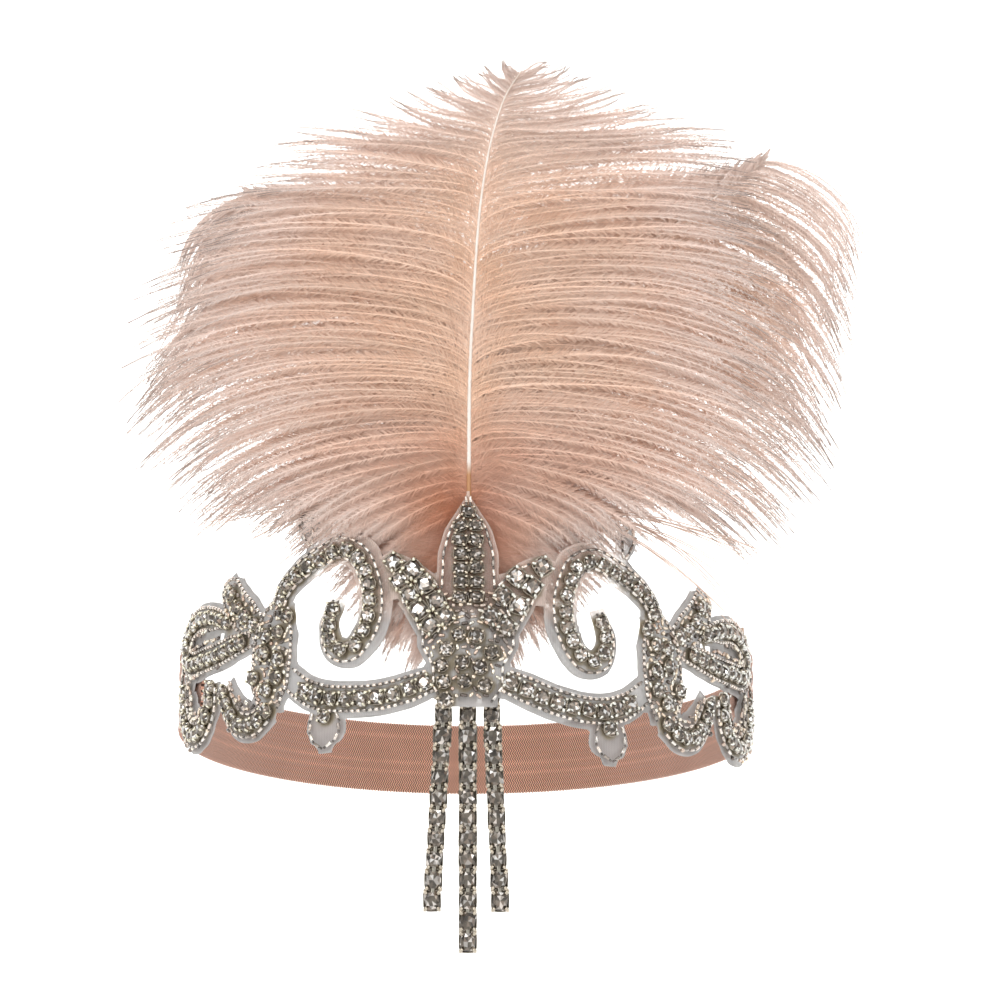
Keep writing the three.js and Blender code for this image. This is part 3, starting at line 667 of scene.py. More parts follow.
def thread_material():
    """Sewing thread in the tint of each stitch, with a fine uneven twist."""
    material, tree, shader = new_material("sewing thread", (0.7, 0.5, 0.42), Roughness=0.7)
    patch = place_group(tree, patchy_colour, Colour=tint_of(tree), Patch=(0.35, 0.25, 0.20),
                        Scale=1500.0, Amount=0.4)
    tree.links.new(patch.outputs["Colour"], shader.inputs["Base Color"])
    bumped(tree, shader, patch.outputs["Mask"], 0.00008, 0.5)
    return material


def studio_material():
    material, tree, shader = new_material("pale studio floor", (0.92, 0.92, 0.91), Roughness=0.9)
    patch = place_group(tree, patchy_colour, Colour=(0.93, 0.93, 0.92), Patch=(0.90, 0.90, 0.89),
                        Scale=3.0, Amount=0.6)
    tree.links.new(patch.outputs["Colour"], shader.inputs["Base Color"])
    return material


barb_finish = barb_material()
quill_finish = quill_material()
organza_finish = organza_material()
gem_finish = gem_material()
setting_finish = silver_material("silver settings", 0.10, 0.35)
chain_finish = silver_material("chain metal", 0.08, 0.3)
bead_finish = bead_material()
elastic_finish = elastic_material()
thread_finish = thread_material()


def finished(piece, slot, *nodes):
    """The piece rides on the headband and stands for the nodes, which it hides.
    The slot is not used.
    """
    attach(piece, "root")
    if nodes:
        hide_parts(*nodes)
    return piece


# The motifs' strips.


def strip_of(rows, side):
    """A motif's middle line as (along, up), its left-hand normals, and how far the net's edge
    lies along that normal on each hand: widths go straight between the table's rows."""
    rows = np.array(rows)
    line = smooth_curve(on_band(rows[:, 0], rows[:, 1], side), 200)
    ahead = unit(np.gradient(line, axis=0))
    normal = np.stack([-ahead[:, 1], ahead[:, 0]], 1)
    at = np.linspace(0, len(rows) - 1, 200)
    widths = [np.interp(at, np.arange(len(rows)), rows[:, column]) * NET_WIDTH for column in (2, 3)]
    edges = {"right": side * widths[0], "left": -side * widths[1]}
    return dict(line=line, ahead=ahead, normal=normal, edges=edges, rows=rows, side=side)


STRIPS = {}
for motif, rows in CENTRE_ROUTES.items():
    STRIPS[motif, 1] = strip_of(rows, 1)
for hand in (-1, 1):
    for motif, rows in SIDE_ROUTES.items():
        STRIPS[motif, hand] = strip_of(rows, hand)


def depth_inside(strip, places, cap=1.2):
    """How far places lie inside a strip's net, less than 0 outside: its width on that hand less
    the distance to the nearest point of the line, and at the ends the cap less the overrun."""
    away = places[:, None] - strip["line"][None]
    distance = np.linalg.norm(away, axis=2)
    nearest = distance.argmin(1)
    pick = np.arange(len(places))
    offset = away[pick, nearest]
    shift = np.einsum("nk,nk->n", offset, strip["normal"][nearest])
    run = np.einsum("nk,nk->n", offset, strip["ahead"][nearest])
    right, left = strip["edges"]["right"][nearest], strip["edges"]["left"][nearest]
    width = np.where(shift * np.sign(right) > 0, np.abs(right), np.abs(left))
    at_end = (nearest == 0) | (nearest == len(strip["line"]) - 1)
    beyond = np.where(at_end, np.minimum(width - np.abs(shift), cap - np.abs(run)),
                      width - distance[pick, nearest])
    return beyond


# The organza.


def organza_backing():
    """One sheet: a grid over (along, up), kept where any strip's net covers it. Points just
    outside are drawn in along the field's slope to its zero line, which makes the edge smooth."""
    STEP = 0.8
    along = np.arange(-103, 111, STEP)
    up = np.arange(-32, 37, STEP)
    flat = np.stack(np.meshgrid(along, up, indexing="ij"), -1)
    places = flat.reshape(-1, 2)
    field = np.full(len(places), -99.0)
    for strip in STRIPS.values():
        low, high = strip["line"].min(0) - 14, strip["line"].max(0) + 14
        near = ((places > low) & (places < high)).all(1)
        field[near] = np.maximum(field[near], depth_inside(strip, places[near]))
    field = field.reshape(flat.shape[:2])
    slope = np.stack(np.gradient(np.maximum(field, -4), STEP), -1)
    steep = np.maximum((slope**2).sum(-1, keepdims=True), 0.2)
    pull = -field[..., None] * slope / steep
    outside = (field < 0) & (field > -1.6 * STEP)
    moved = np.where(outside[..., None], flat + np.clip(pull, -1.5, 1.5), flat)
    quads = grid_faces(len(along), len(up))
    inside = (field > 0).ravel()
    usable = (field > -1.6 * STEP).ravel()
    keep = inside[quads].any(1) & usable[quads].all(1)
    quads = quads[keep]
    used, quads = np.unique(quads, return_inverse=True)
    flat_points = moved.reshape(-1, 2)[used]
    quads = quads.reshape(-1, 4)
    ripple = (0.16 * np.sin(flat_points[:, 0] * 0.9) * np.sin(flat_points[:, 1] * 1.1 + 0.4)
              + 0.12 * np.sin(flat_points[:, 0] * 0.37 + flat_points[:, 1] * 0.5))
    points = on_head(flat_points[:, 0], flat_points[:, 1], NET_OUT - 0.25 + ripple)
    rim = np.clip(1 - field.ravel()[used] / 0.8, 0, 1)
    aside = np.abs(flat_points[:, 0] - APPLIQUE_SHIFT)
    single = np.clip((flat_points[:, 1] - 2) / 6, 0, 1) * np.clip((42 - aside) / 6, 0, 1)
    # Nearness to a stone: there the net is denser and darker, partly thread and glue and partly
    # painted shade among the stones.
    sewn_and_shaded = np.zeros(len(flat_points))
    for motif, side in STRIPS:
        if motif != "top_bud":
            size, stones = motif_places(motif, side)[:2]
            gap = np.linalg.norm(flat_points[:, None] - stones[None], axis=2).min(1) - size / 2
            sewn_and_shaded = np.maximum(sewn_and_shaded, np.clip((1.1 - gap) / 0.8, 0, 1))
    piece = add_mesh("organza", points, [quads], organza_finish, uv=flat_points,
                     tint=np.stack([rim, sewn_and_shaded, single], 1))
    wall = piece.modifiers.new("cloth thickness", "SOLIDIFY")
    wall.thickness = 0.00012
    wall.offset = 0
    finished(piece, "sheer_net", "applique_backing")
    size = np.ptp(flat_points, axis=0) * 0.001
    return piece


# Stones, settings and beads.


def gem_shape():
    """A cut stone of half width 1: a table, a ring of star points turned by half a side, a
    girdle of twice as many points, and a point below."""
    turn = np.arange(8) * math.pi / 4
    half = turn + math.pi / 8
    wide = np.arange(16) * math.pi / 8
    rings = [
        np.stack([0.50 * np.cos(turn), 0.50 * np.sin(turn), 0 * turn + 1.0], 1),
        np.stack([0.78 * np.cos(half), 0.78 * np.sin(half), 0 * turn + 0.80], 1),
        np.stack([np.cos(wide), np.sin(wide), 0 * wide + 0.42], 1),
        [[0, 0, 1.0]], [[0, 0, 0.0]],
    ]
    table = np.arange(8)
    after = (table + 1) % 8
    star, girdle = 8, 16
    faces = np.vstack([
        np.stack([np.full(8, 32), table, after], 1),
        np.stack([table, star + table, after], 1),
        np.stack([after, star + table, star + after], 1),
        np.stack([star + table, girdle + 2 * table, girdle + 2 * table + 1], 1),
        np.stack([star + table, girdle + 2 * table + 1, girdle + (2 * table + 2) % 16], 1),
        np.stack([star + table, girdle + (2 * table + 2) % 16, star + after], 1),
        np.stack([np.full(16, 33), girdle + (np.arange(16) + 1) % 16, girdle + np.arange(16)], 1),
    ])
    return np.vstack(rings), [faces]


def setting_shape():
    """A cup of half width 1.08 round the stone, and four prongs bent in over its crown, with how
    bright each point is: the cup is darkened as painted shade among the stones, and the prongs are
    left at full brightness."""
    cup = turned_shape([(0.7, 0.0), (1.04, 0.0), (1.08, 0.12), (1.08, 0.52), (1.0, 0.55),
                        (0.97, 0.40), (0.5, 0.12)], 12)
    parts = [cup]
    for quarter in range(4):
        turn = math.pi / 4 + quarter * math.pi / 2
        aim = np.array([math.cos(turn), math.sin(turn), 0])
        radius = np.array([1.06, 1.04, 0.92, 0.74])
        height = np.array([0.30, 0.70, 0.92, 0.98])
        line = radius[:, None] * aim + height[:, None] * np.array([0, 0, 1])
        side = np.array([-aim[1], aim[0], 0])
        parts.append(swept_tube(line, np.array([0.16, 0.18, 0.20, 0.13]), 5, side))
    points, faces = together(parts)
    # The cup is painted darker than the prongs: shade down among the stones.
    return points, faces, np.where(np.arange(len(points)) < len(cup[0]), 0.36, 1.0)


def stone_frames(along, ahead):
    """Right, forward and out of stones on the band, from their directions in (along, up)."""
    out = outward_at(along)
    level = unit(np.cross(np.broadcast_to(UP_AXIS, out.shape), out))
    forward = unit(level * ahead[:, :1] + UP_AXIS * ahead[:, 1:])
    return np.stack([np.cross(forward, out), forward, out], 1)


def row_places(rows, side, setting):
    """Places along a motif's line at an even pitch, in one row or in two staggered ones."""
    size, columns, start, end = setting
    rows = np.array(rows)
    line = smooth_curve(on_band(rows[:, 0], rows[:, 1], side), 400)
    whole = lengths_of(line)[-1]
    pitch = size * 1.04
    count = int(whole * (end - start) // pitch) + 1
    shares = np.linspace(start, end, count) if count > 1 else np.array([start])
    middle, ahead = along_curve(line, shares * whole)
    normal = np.stack([-ahead[:, 1], ahead[:, 0]], 1)
    if columns == 1:
        return middle, ahead
    apart = 1.2 * pitch if size == 3.0 else pitch
    pairs = [(middle[1:] + normal[1:] * shift) for shift in (-apart / 2, apart / 2)]
    return np.vstack([middle[:1], *pairs]), np.vstack([ahead[:1], ahead[1:], ahead[1:]])


FOIL_WARMTH = np.array([1.14, 0.98, 0.86])
PLATING = np.array([0.86, 0.76, 0.62])


def painted_facet_reflections(faces, copies_count, seed):
    """A painted reflection for each corner, the same over a face: mostly mid grey, some near-black
    and some bright, as a foiled stone throws back the room in pieces."""
    rng = np.random.default_rng(seed)
    count = len(faces) * copies_count
    level = rng.choice([0.02, 0.07, 0.2, 0.5, 1.0], count, p=[0.34, 0.26, 0.17, 0.09, 0.14])
    warm = rng.uniform(0.72, 0.98, (count, 1))
    colour = level[:, None] * np.concatenate([np.ones((count, 1)), 0.4 + 0.6 * warm, warm], 1)
    colour = np.where(level[:, None] < 0.4, colour * FOIL_WARMTH, 0.6 * colour + 0.4 * level[:, None])
    return np.repeat(colour, faces.shape[1], axis=0)


def squared(shape, square):
    """A round shape pushed towards a square: each point's radius is divided by the superellipse
    (|cos|^n + |sin|^n)^(1/n) with n from 2, round, to 6."""
    angle = np.arctan2(shape[:, 1], shape[:, 0])
    power = 2 + 4 * square
    radius = (np.abs(np.cos(angle)) ** power + np.abs(np.sin(angle)) ** power) ** (-1 / power)
    return shape * np.stack([radius, radius, np.ones_like(radius)], 1)


def stone_pieces(name, node, places, frames, size, seed, tables=1.0, square=0.0, long=1.0,
                 wide=1.0, turned=0.0, brightness_and_painted_light=1.0):
    """The gems and the settings of one field, as two pieces. Turned is how far each gem may be
    turned in its setting, in radians, and the last argument scales how bright gems and prongs are;
    on the side motifs that is painted light."""
    rng = np.random.default_rng(seed + 900)
    scales = size / 2 * rng.uniform(0.92, 1.05, len(places))
    shape, faces = gem_shape()
    shape = squared(shape, square) * [wide, long, STONE_HIGH / (size / 2) * tables]
    turn = rng.uniform(-turned, turned, (len(places), 1))
    right, forward = frames[:, 0], frames[:, 1]
    turned_frames = np.stack([right * np.cos(turn) + forward * np.sin(turn),
                              forward * np.cos(turn) - right * np.sin(turn), frames[:, 2]], 1)
    points, sets = copies(shape, faces, places, turned_frames, scales)
    tint = np.minimum(brightness_and_painted_light * painted_facet_reflections(faces[0], len(places), seed), 1)
    gems = add_mesh(f"{name}_gems", points, sets, gem_finish, smooth=False, corner_tint=tint)
    finished(gems, "rhinestone", node)
    shape, faces, bright = setting_shape()
    shape = squared(shape, square) * [wide, long, STONE_HIGH / (size / 2) * tables]
    points, sets = copies(shape, faces, places, frames, scales)
    tint = np.tile(np.minimum(brightness_and_painted_light * bright[:, None] * PLATING, 1), (len(places), 1))
    settings = add_mesh(f"{name}_settings", points, sets, setting_finish, tint=tint)
    finished(settings, "cup_chain", node)


def motif_places(motif, side):
    """A motif's stones: their size, places and directions on the band, whether in rows or one by one.
    """
    if motif in STONE_ROWS:
        return STONE_ROWS[motif][0], *row_places(STRIPS[motif, side]["rows"], side, STONE_ROWS[motif])
    size = 3.7
    (out, up), table = STONE_PLACES[motif]
    middle = on_band(out, up, side)
    places = middle + np.array(table) * [side * (size + STONE_SPACE), size + STONE_SPACE]
    turn = np.random.default_rng(len(table)).uniform(0, math.pi, len(places))
    return size, places, np.stack([np.cos(turn), np.sin(turn)], 1)


def motif_stones():
    seed = 10
    for motif, side in STRIPS:
        seed += 1
        if motif == "top_bud":
            continue
        size, places, ahead = motif_places(motif, side)
        word = f"{motif}_stones"
        if motif in SIDE_ROUTES:
            word = ("left_" if side < 0 else "right_") + word
        rng = np.random.default_rng(seed + 500)
        places = places + rng.normal(0, 0.12, places.shape)
        ahead = unit(ahead + rng.normal(0, 0.12, ahead.shape))
        feet = on_head(places[:, 0], places[:, 1], STONE_FOOT + rng.uniform(-0.1, 0.12, len(places)))
        wide = 1.22 if motif == "spike" else 1.0
        # Painted light: the side motifs' gems and prongs are brighter, the right side's the most.
        brightness_and_painted_light = 1.0 if motif in CENTRE_ROUTES else 1.25 if side < 0 else 1.5
        square = 0.5 if motif in ("petal", "arm", "spike") else 0.0
        stone_pieces(word.replace("_stones", ""), word, feet, stone_frames(places[:, 0], ahead),
                     size, seed, square=square, wide=wide, turned=0.6 * (wide == 1), brightness_and_painted_light=brightness_and_painted_light)


def bugle_shape():
    """A bead 1 long and 1 wide, lying along its second axis, with a bore sunk at each end."""
    points, faces = turned_shape([(0.14, -0.30), (0.20, -0.49), (0.44, -0.5), (0.5, -0.45),
                                  (0.5, 0.45), (0.44, 0.5), (0.20, 0.49), (0.14, 0.30)], 7)
    return points[:, [0, 2, 1]] * [1, 1, -1], faces


# Motifs whose net lies over others: a bead of an earlier one is hidden by a later one.
FILLED = ["heart", "flower", "ring", "lower_curl", "end_curl", "leaf"]
ROUND_ROWS = ["arm", "ring", "leaf", "flower"]
CLOSE_ROWS = ["arm", "scroll", "ring", "lower_curl", "end_curl"]
STACKING = ["leaf", "top_bud", "bud_drop", "arm", "lower_curl", "end_curl", "ring", "scroll",
            "petal", "spike", "flower", "heart"]


def bugle_rows():
    """Bugles end to end inside both edges of every motif. One that a later motif covers is left
    out."""
    EDGE, CLOSE = 1.5, 1.1
    bugle, bugle_faces = bugle_shape()
    centres, aims, wides, longs = [], [], [], []
    for (motif, side), strip in STRIPS.items():
        over = [other for (name, hand), other in STRIPS.items()
                if STACKING.index(name) > STACKING.index(motif)
                and (hand == side or name in CENTRE_ROUTES or motif in CENTRE_ROUTES)]
        for edge in strip["edges"].values():
            reach = np.abs(edge)
            stones = STONE_ROWS.get(motif, (0, 1))
            beside = stones[0] * stones[1] / 2 + CLOSE if motif in CLOSE_ROWS else 99
            inset = np.maximum(reach - EDGE, np.minimum(reach, 0.5))
            inset = np.sign(edge) * np.minimum(inset, beside)
            line = strip["line"] + strip["normal"] * inset[:, None]
            whole = lengths_of(line)[-1]
            pitch, wide, long = (1.5, 1.0, 0.95) if motif in ROUND_ROWS else (2.3, 0.85, 1.6)
            count = max(2, int(whole / pitch))
            middle, ahead = along_curve(line, (np.arange(count) + 0.5) * whole / count)
            hidden = np.zeros(count, bool)
            for other in over:
                hidden |= depth_inside(other, middle, cap=0.0) > 0.9
            shown = (~hidden).sum()
            centres.append(middle[~hidden])
            aims.append(ahead[~hidden])
            wides.append(np.full(shown, wide))
            longs.append(np.full(shown, long))
            # Small near-black beads in the gaps between the bugles: the thread there, and painted
            # shade between the beads.
            between = middle[~hidden] + ahead[~hidden] * whole / count / 2
            centres.append(between)
            aims.append(ahead[~hidden])
            wides.append(np.full(shown, 0.62))
            longs.append(np.full(shown, 0.6))
    centres, aims = np.vstack(centres), np.vstack(aims)
    wides, longs = np.concatenate(wides), np.concatenate(longs)
    rng = np.random.default_rng(77)
    aims = unit(aims + rng.normal(0, 0.07, aims.shape))
    frames = stone_frames(centres[:, 0], aims)
    feet = on_head(centres[:, 0], centres[:, 1], STONE_FOOT + 0.55)
    stretched = frames * np.stack([wides, longs, wides], 1)[:, :, None]
    points, faces = copies(bugle, bugle_faces, feet, stretched, np.ones(len(feet)))
    each = rng.choice([0.35, 0.7, 0.95, 1.0], len(feet), p=[0.2, 0.2, 0.3, 0.3])
    # The small gap beads are near-black: thread, and painted shade between the bugles.
    each = np.where(longs < 0.7, 0.07, each)
    blush = rng.uniform(0.82, 1.0, (len(feet), 1))
    colour = each[:, None] * np.concatenate([np.ones_like(blush), 0.4 + 0.6 * blush, blush], 1)
    colour = colour * [1.0, 0.96, 0.90]
    # Painted shade: the bore down each end of a bugle is near-black.
    bore = np.where((np.abs(bugle[:, 1]) < 0.4) | (np.hypot(bugle[:, 0], bugle[:, 2]) < 0.17),
                    0.08, 1.0)
    tint = (colour[:, None] * bore[None, :, None]).reshape(-1, 3)
    piece = add_mesh("bugle_beads", points, faces, bead_finish, tint=tint)
    finished(piece, "rhinestone")


def filling_beads():
    """Beads on a grid of triangles over the motifs in FILLED, wherever the net has room inside
    its edge rows and no stone lies. Two in three are short bugles that lie round the nearest
    stone, square to the way to it; the others are round."""
    PITCH, INSIDE = 1.72, 2.1
    rng = np.random.default_rng(303)
    places, aims = [], []
    for motif, side in [key for key in STRIPS if key[0] in FILLED]:
        strip = STRIPS[motif, side]
        over = [other for (name, hand), other in STRIPS.items()
                if STACKING.index(name) > STACKING.index(motif)
                and (hand == side or name in CENTRE_ROUTES or motif in CENTRE_ROUTES)]
        size, stones = motif_places(motif, side)[:2]
        low, high = strip["line"].min(0) - 12, strip["line"].max(0) + 12
        column, row = np.meshgrid(np.arange(low[0], high[0], PITCH),
                                  np.arange(low[1], high[1], PITCH * 0.866))
        column = column + PITCH / 2 * (np.arange(len(row)) % 2)[:, None]
        middle = np.stack([column.ravel(), row.ravel()], 1)
        away = middle[:, None] - stones[None]
        distance = np.linalg.norm(away, axis=2)
        nearest = distance.argmin(1)
        rows_beside = motif in CLOSE_ROWS
        keep = depth_inside(strip, middle, cap=0.5) > (0.9 if rows_beside else INSIDE)
        keep &= distance.min(1) > size / 2 + (1.7 if rows_beside else 0.5)
        for other in over:
            keep &= depth_inside(other, middle, cap=0.0) < 0.5
        way = unit(away[np.arange(len(middle)), nearest])[keep]
        middle = middle[keep] + rng.normal(0, 0.15, (keep.sum(), 2))
        round_it = np.stack([-way[:, 1], way[:, 0]], 1)
        places.append(middle)
        aims.append(unit(round_it + rng.normal(0, 0.35, middle.shape)))
    places, aims = np.vstack(places), np.vstack(aims)
    count = len(places)
    shape, faces = turned_shape([(0.15, -0.42), (0.36, -0.48), (0.5, -0.22), (0.5, 0.22),
                                 (0.36, 0.48), (0.15, 0.42)], 6)
    shape = shape[:, [0, 2, 1]] * [1, 1, -1]
    long = rng.random(count) < 0.66
    widths = np.where(long, 0.85, 1.15) * rng.uniform(0.9, 1.1, count)
    lengths = np.where(long, 1.75, 1.1) * rng.uniform(0.85, 1.1, count)
    feet = on_head(places[:, 0], places[:, 1], STONE_FOOT + 0.5 + rng.uniform(0, 0.35, count))
    frames = stone_frames(places[:, 0], aims)
    stretched = frames * np.stack([widths, lengths, widths], 1)[:, :, None]
    points, faces = copies(shape, faces, feet, stretched, np.ones(count))
    level = rng.choice([0.06, 0.25, 0.6, 1.0], count, p=[0.18, 0.16, 0.24, 0.42])
    warm = rng.uniform(0.72, 1.0, (count, 1))
    colour = level[:, None] * np.concatenate([np.ones_like(warm), 0.4 + 0.6 * warm, warm], 1)
    tint = np.repeat(np.minimum(colour * FOIL_WARMTH, 1), len(shape), axis=0)
    finished(add_mesh("filling_beads", points, faces, bead_finish, tint=tint), "rhinestone")


# The strands.


def strand_pieces():
    """Cups down a straight line from behind the net's lower edge, facing forward, with a link
    from each to the next."""
    top_edge = CENTRE_ROUTES["heart"][-1][1] * APPLIQUE_RISE + CUP_SIZE + 0.4
    frames = np.array([[[1, 0, 0], [0, 0, 1], [0, -1, 0]]], float)
    for number, (name, (top, end, cups)) in enumerate(STRANDS.items()):
        behind = on_head(APPLIQUE_SHIFT + top * (STRAND_SPACING + CUP_SIZE / 2), top_edge,
                         ELASTIC_THICK - 1.7)
        cup = np.arange(cups)
        sway = top + (end - top) * cup / (cups - 1)
        feet = np.stack([APPLIQUE_SHIFT + sway * STRAND_SPACING, np.full(cups, behind[1]),
                         behind[2] - CUP_SIZE / 2 - cup * CUP_PITCH], 1)
        places = np.repeat(frames, cups, axis=0)
        stone_pieces(f"strand_{name}", f"strand_{name}", feet, places, CUP_SIZE, 200 + number,
                     tables=0.92, square=0.6, long=1.24, wide=0.98, turned=0.3, brightness_and_painted_light=0.78)
        links = []
        for first, second in zip(feet[:-1], feet[1:]):
            line = np.linspace(first, second, 4) + FRONT * 0.75
            links.append(swept_tube(line, np.array([0.6, 0.75, 0.75, 0.6]), 6, FRONT))
        points, faces = together(links)
        tint = np.tile([[0.34, 0.32, 0.28]], (len(points), 1))
        finished(add_mesh(f"strand_{name}_links", points, faces, chain_finish, tint=tint),
                 "cup_chain", f"strand_{name}")


# The elastic.


def elastic_pieces():
    """A rounded flat profile carried along the band: its outer face carries four low ribs, a
    cosine of the height, and its edges are half circles. UV is (along, round the profile)."""
    SECTIONS = 480
    half, thick = ELASTIC_WIDTH / 2, ELASTIC_THICK
    across = np.linspace(-half + thick / 2, half - thick / 2, 41)
    ribs = 0.11 * (np.cos(across / half * math.pi * 4) - 1) * (1 - (across / half) ** 8)
    turn = np.linspace(math.pi / 2, -math.pi / 2, 7)[1:-1]
    up = np.concatenate([across, half - thick / 2 + thick / 2 * np.cos(turn), across[::-1],
                         -half + thick / 2 - thick / 2 * np.cos(turn)])
    out = np.concatenate([thick + ribs, thick / 2 + thick / 2 * np.sin(turn), -0 * across,
                          thick / 2 - thick / 2 * np.sin(turn)])
    along = np.linspace(ELASTIC_END, 2 * HALF_ROUND - ELASTIC_END, SECTIONS)
    points = on_head(along[:, None], up[None], out[None]).reshape(-1, 3)
    count = len(up)
    ends = [np.arange(count)[None, ::-1], (SECTIONS - 1) * count + np.arange(count)[None]]
    uv = np.stack(np.broadcast_arrays(along[:, None], up[None]), -1).reshape(-1, 2)
    # Three lighter lengthwise stripes: rib lines in the knit, lightened as painted highlight.
    rib_stripe_and_highlight = sum(np.exp(-((up - place) / 0.45) ** 2) for place in (6.3, -1.4, -4.2))
    rose = np.array([0.57, 0.305, 0.225]) * (1 + 0.3 * rib_stripe_and_highlight[:, None])
    piece = add_mesh("elastic", points, [grid_faces(SECTIONS, count, closed=True), *ends],
                     elastic_finish, uv=uv, tint=np.tile(rose, (SECTIONS, 1)))
    finished(piece, "elastic_knit", "elastic_band")
    turns = np.linspace(0, 1, 2600)
    edge = ELASTIC_END + turns * 2 * (HALF_ROUND - ELASTIC_END)
    loops = []
    for sign in (-1, 1):
        wave = np.sin(edge / 0.95 * 2 * math.pi)
        line = on_head(edge, sign * (half - 0.12 + 0.24 * wave), thick / 2 + 0.1 * wave)
        loops.append(swept_tube(line, np.full(len(edge), 0.16), 4, UP_AXIS))
    points, faces = together(loops)
    rose = np.tile([[0.66, 0.38, 0.29]], (len(points), 1))
    picot = add_mesh("elastic_picot", points, faces, thread_finish, tint=rose)
    finished(picot, "elastic_knit", "elastic_band")


# The plumes.

AMBER = np.array([0.50, 0.24, 0.10])
IVORY = np.array([0.96, 0.90, 0.84])
ROOT_DYE_AND_SHADE = np.array([0.52, 0.16, 0.07])
PEACH = np.array([0.84, 0.55, 0.385])
BLUSH = np.array([0.85, 0.62, 0.51])
MAUVE = np.array([0.78, 0.69, 0.665])
TIP_SHADE_BROWN = np.array([0.26, 0.20, 0.18])


def quill_curve(plume):
    """The quill's rows as points from its own foot behind the net, joined smoothly."""
    foot = on_head(APPLIQUE_SHIFT, QUILL_FOOT * APPLIQUE_RISE, ELASTIC_THICK - QUILL_RADIUS)
    rows = np.array(plume["quill"], float)
    offset = np.stack([rows[:, 0], rows[:, 1], 0 * rows[:, 0]], 1) + rows[:, 2:] * UP_AXIS
    root = foot + np.array([plume["place"] * QUILL_SPACING, 0, 0])
    return smooth_curve(root + offset * PLUME_HEIGHT, 400)


def barb_lines(line, plume, table, side, at, share, reach, tilt):
    """Points of barbs, one row each. A barb's direction starts STEEP above its course, comes down
    to it as e^(-share / 0.06), and falls by the square of its share, through the angle that the
    plume's table gives in degrees; where that is less than 0 the tips curl up, and so do those
    of barbs that stand up behind the quill."""
    STEEP = math.radians(55)
    table = np.array(table, float)[::-1]
    run = lengths_of(line)
    root = np.stack([np.interp(at * run[-1], run, column) for column in line.T], -1)
    long = np.interp(at, table[:, 0], table[:, 1]) * BARB_LENGTH * reach
    slope = np.radians(np.interp(at, table[:, 0], table[:, 2]) + tilt)[:, None]
    fall = np.radians(np.interp(at, *np.array(plume["fall"]).T))[:, None]
    fall = np.where(slope > math.radians(70), -0.6, fall)
    angle = slope - 0.06 * STEEP + fall / 3 + STEEP * np.exp(-share / 0.06) - fall * share**2
    step = np.diff(share, axis=1) * long[:, None]
    middle = (angle[:, 1:] + angle[:, :-1]) / 2
    start = np.zeros((len(at), 1))
    outwards = np.concatenate([start, np.cumsum(step * np.cos(middle), axis=1)], 1)
    upwards = np.concatenate([start, np.cumsum(step * np.sin(middle), axis=1)], 1)
    return np.stack([
        root[:, None, 0] + side * outwards,
        root[:, None, 1] - plume["forward"] * PLUME_HEIGHT * share**2,
        root[:, None, 2] + upwards,
    ], -1)


def behind_net(points, share, over):
    """Points low enough to meet the net are moved back to lie behind it: their depth is at least
    that of the band's surface there. With over they pass up to that far in front instead."""
    x = np.clip(points[..., 0] / (HALF_WIDTH + 1), -0.999, 0.999)
    cos = np.sqrt(1 - x * x)
    height = (points[..., 2] - HALF_DEPTH * cos * math.sin(LEAN)) / math.cos(LEAN)
    surface = -HALF_DEPTH * cos * math.cos(LEAN) + height * math.sin(LEAN)
    low = np.clip((30 - height) / 8, 0, 1)
    depth = points[..., 1]
    needed = surface + 0.6
    moved = points.copy()
    moved[..., 1] = depth + low * np.maximum(needed - depth, 0)
    if over:
        outside = np.clip((share - 0.25) / 0.2, 0, 1)
        moved[..., 1] += outside * (surface - over - moved[..., 1])
    return moved


def barb_colours(at, share, rng, count):
    """Rust red down among the barbs by the quill's foot, partly the barbs' deeper colour at their
    roots and partly painted shade there, peach over the middle, mauve at the tips and near the
    quill's top, with a lighter or darker value for each barb."""
    root_dye_and_shade_mask = np.clip((0.42 - at) / 0.2, 0, 1)[:, None] * np.clip(1.1 - share * 1.4, 0, 0.9)
    high = np.clip((at - 0.70) / 0.25, 0, 1)[:, None]
    tip = np.maximum(np.clip((share - 0.5) / 0.5, 0, 1) ** 1.2, 0.75 * high)[..., None]
    mid = PEACH + (BLUSH - PEACH) * np.clip(share * 1.5 - 0.1, 0, 1)[..., None]
    colour = mid * (1 - root_dye_and_shade_mask[..., None]) + ROOT_DYE_AND_SHADE * root_dye_and_shade_mask[..., None]
    colour = colour * (1 - 0.85 * tip) + MAUVE * 0.85 * tip
    return np.clip(colour * rng.uniform(0.86, 1.08, (count, 1, 1)), 0, 1)


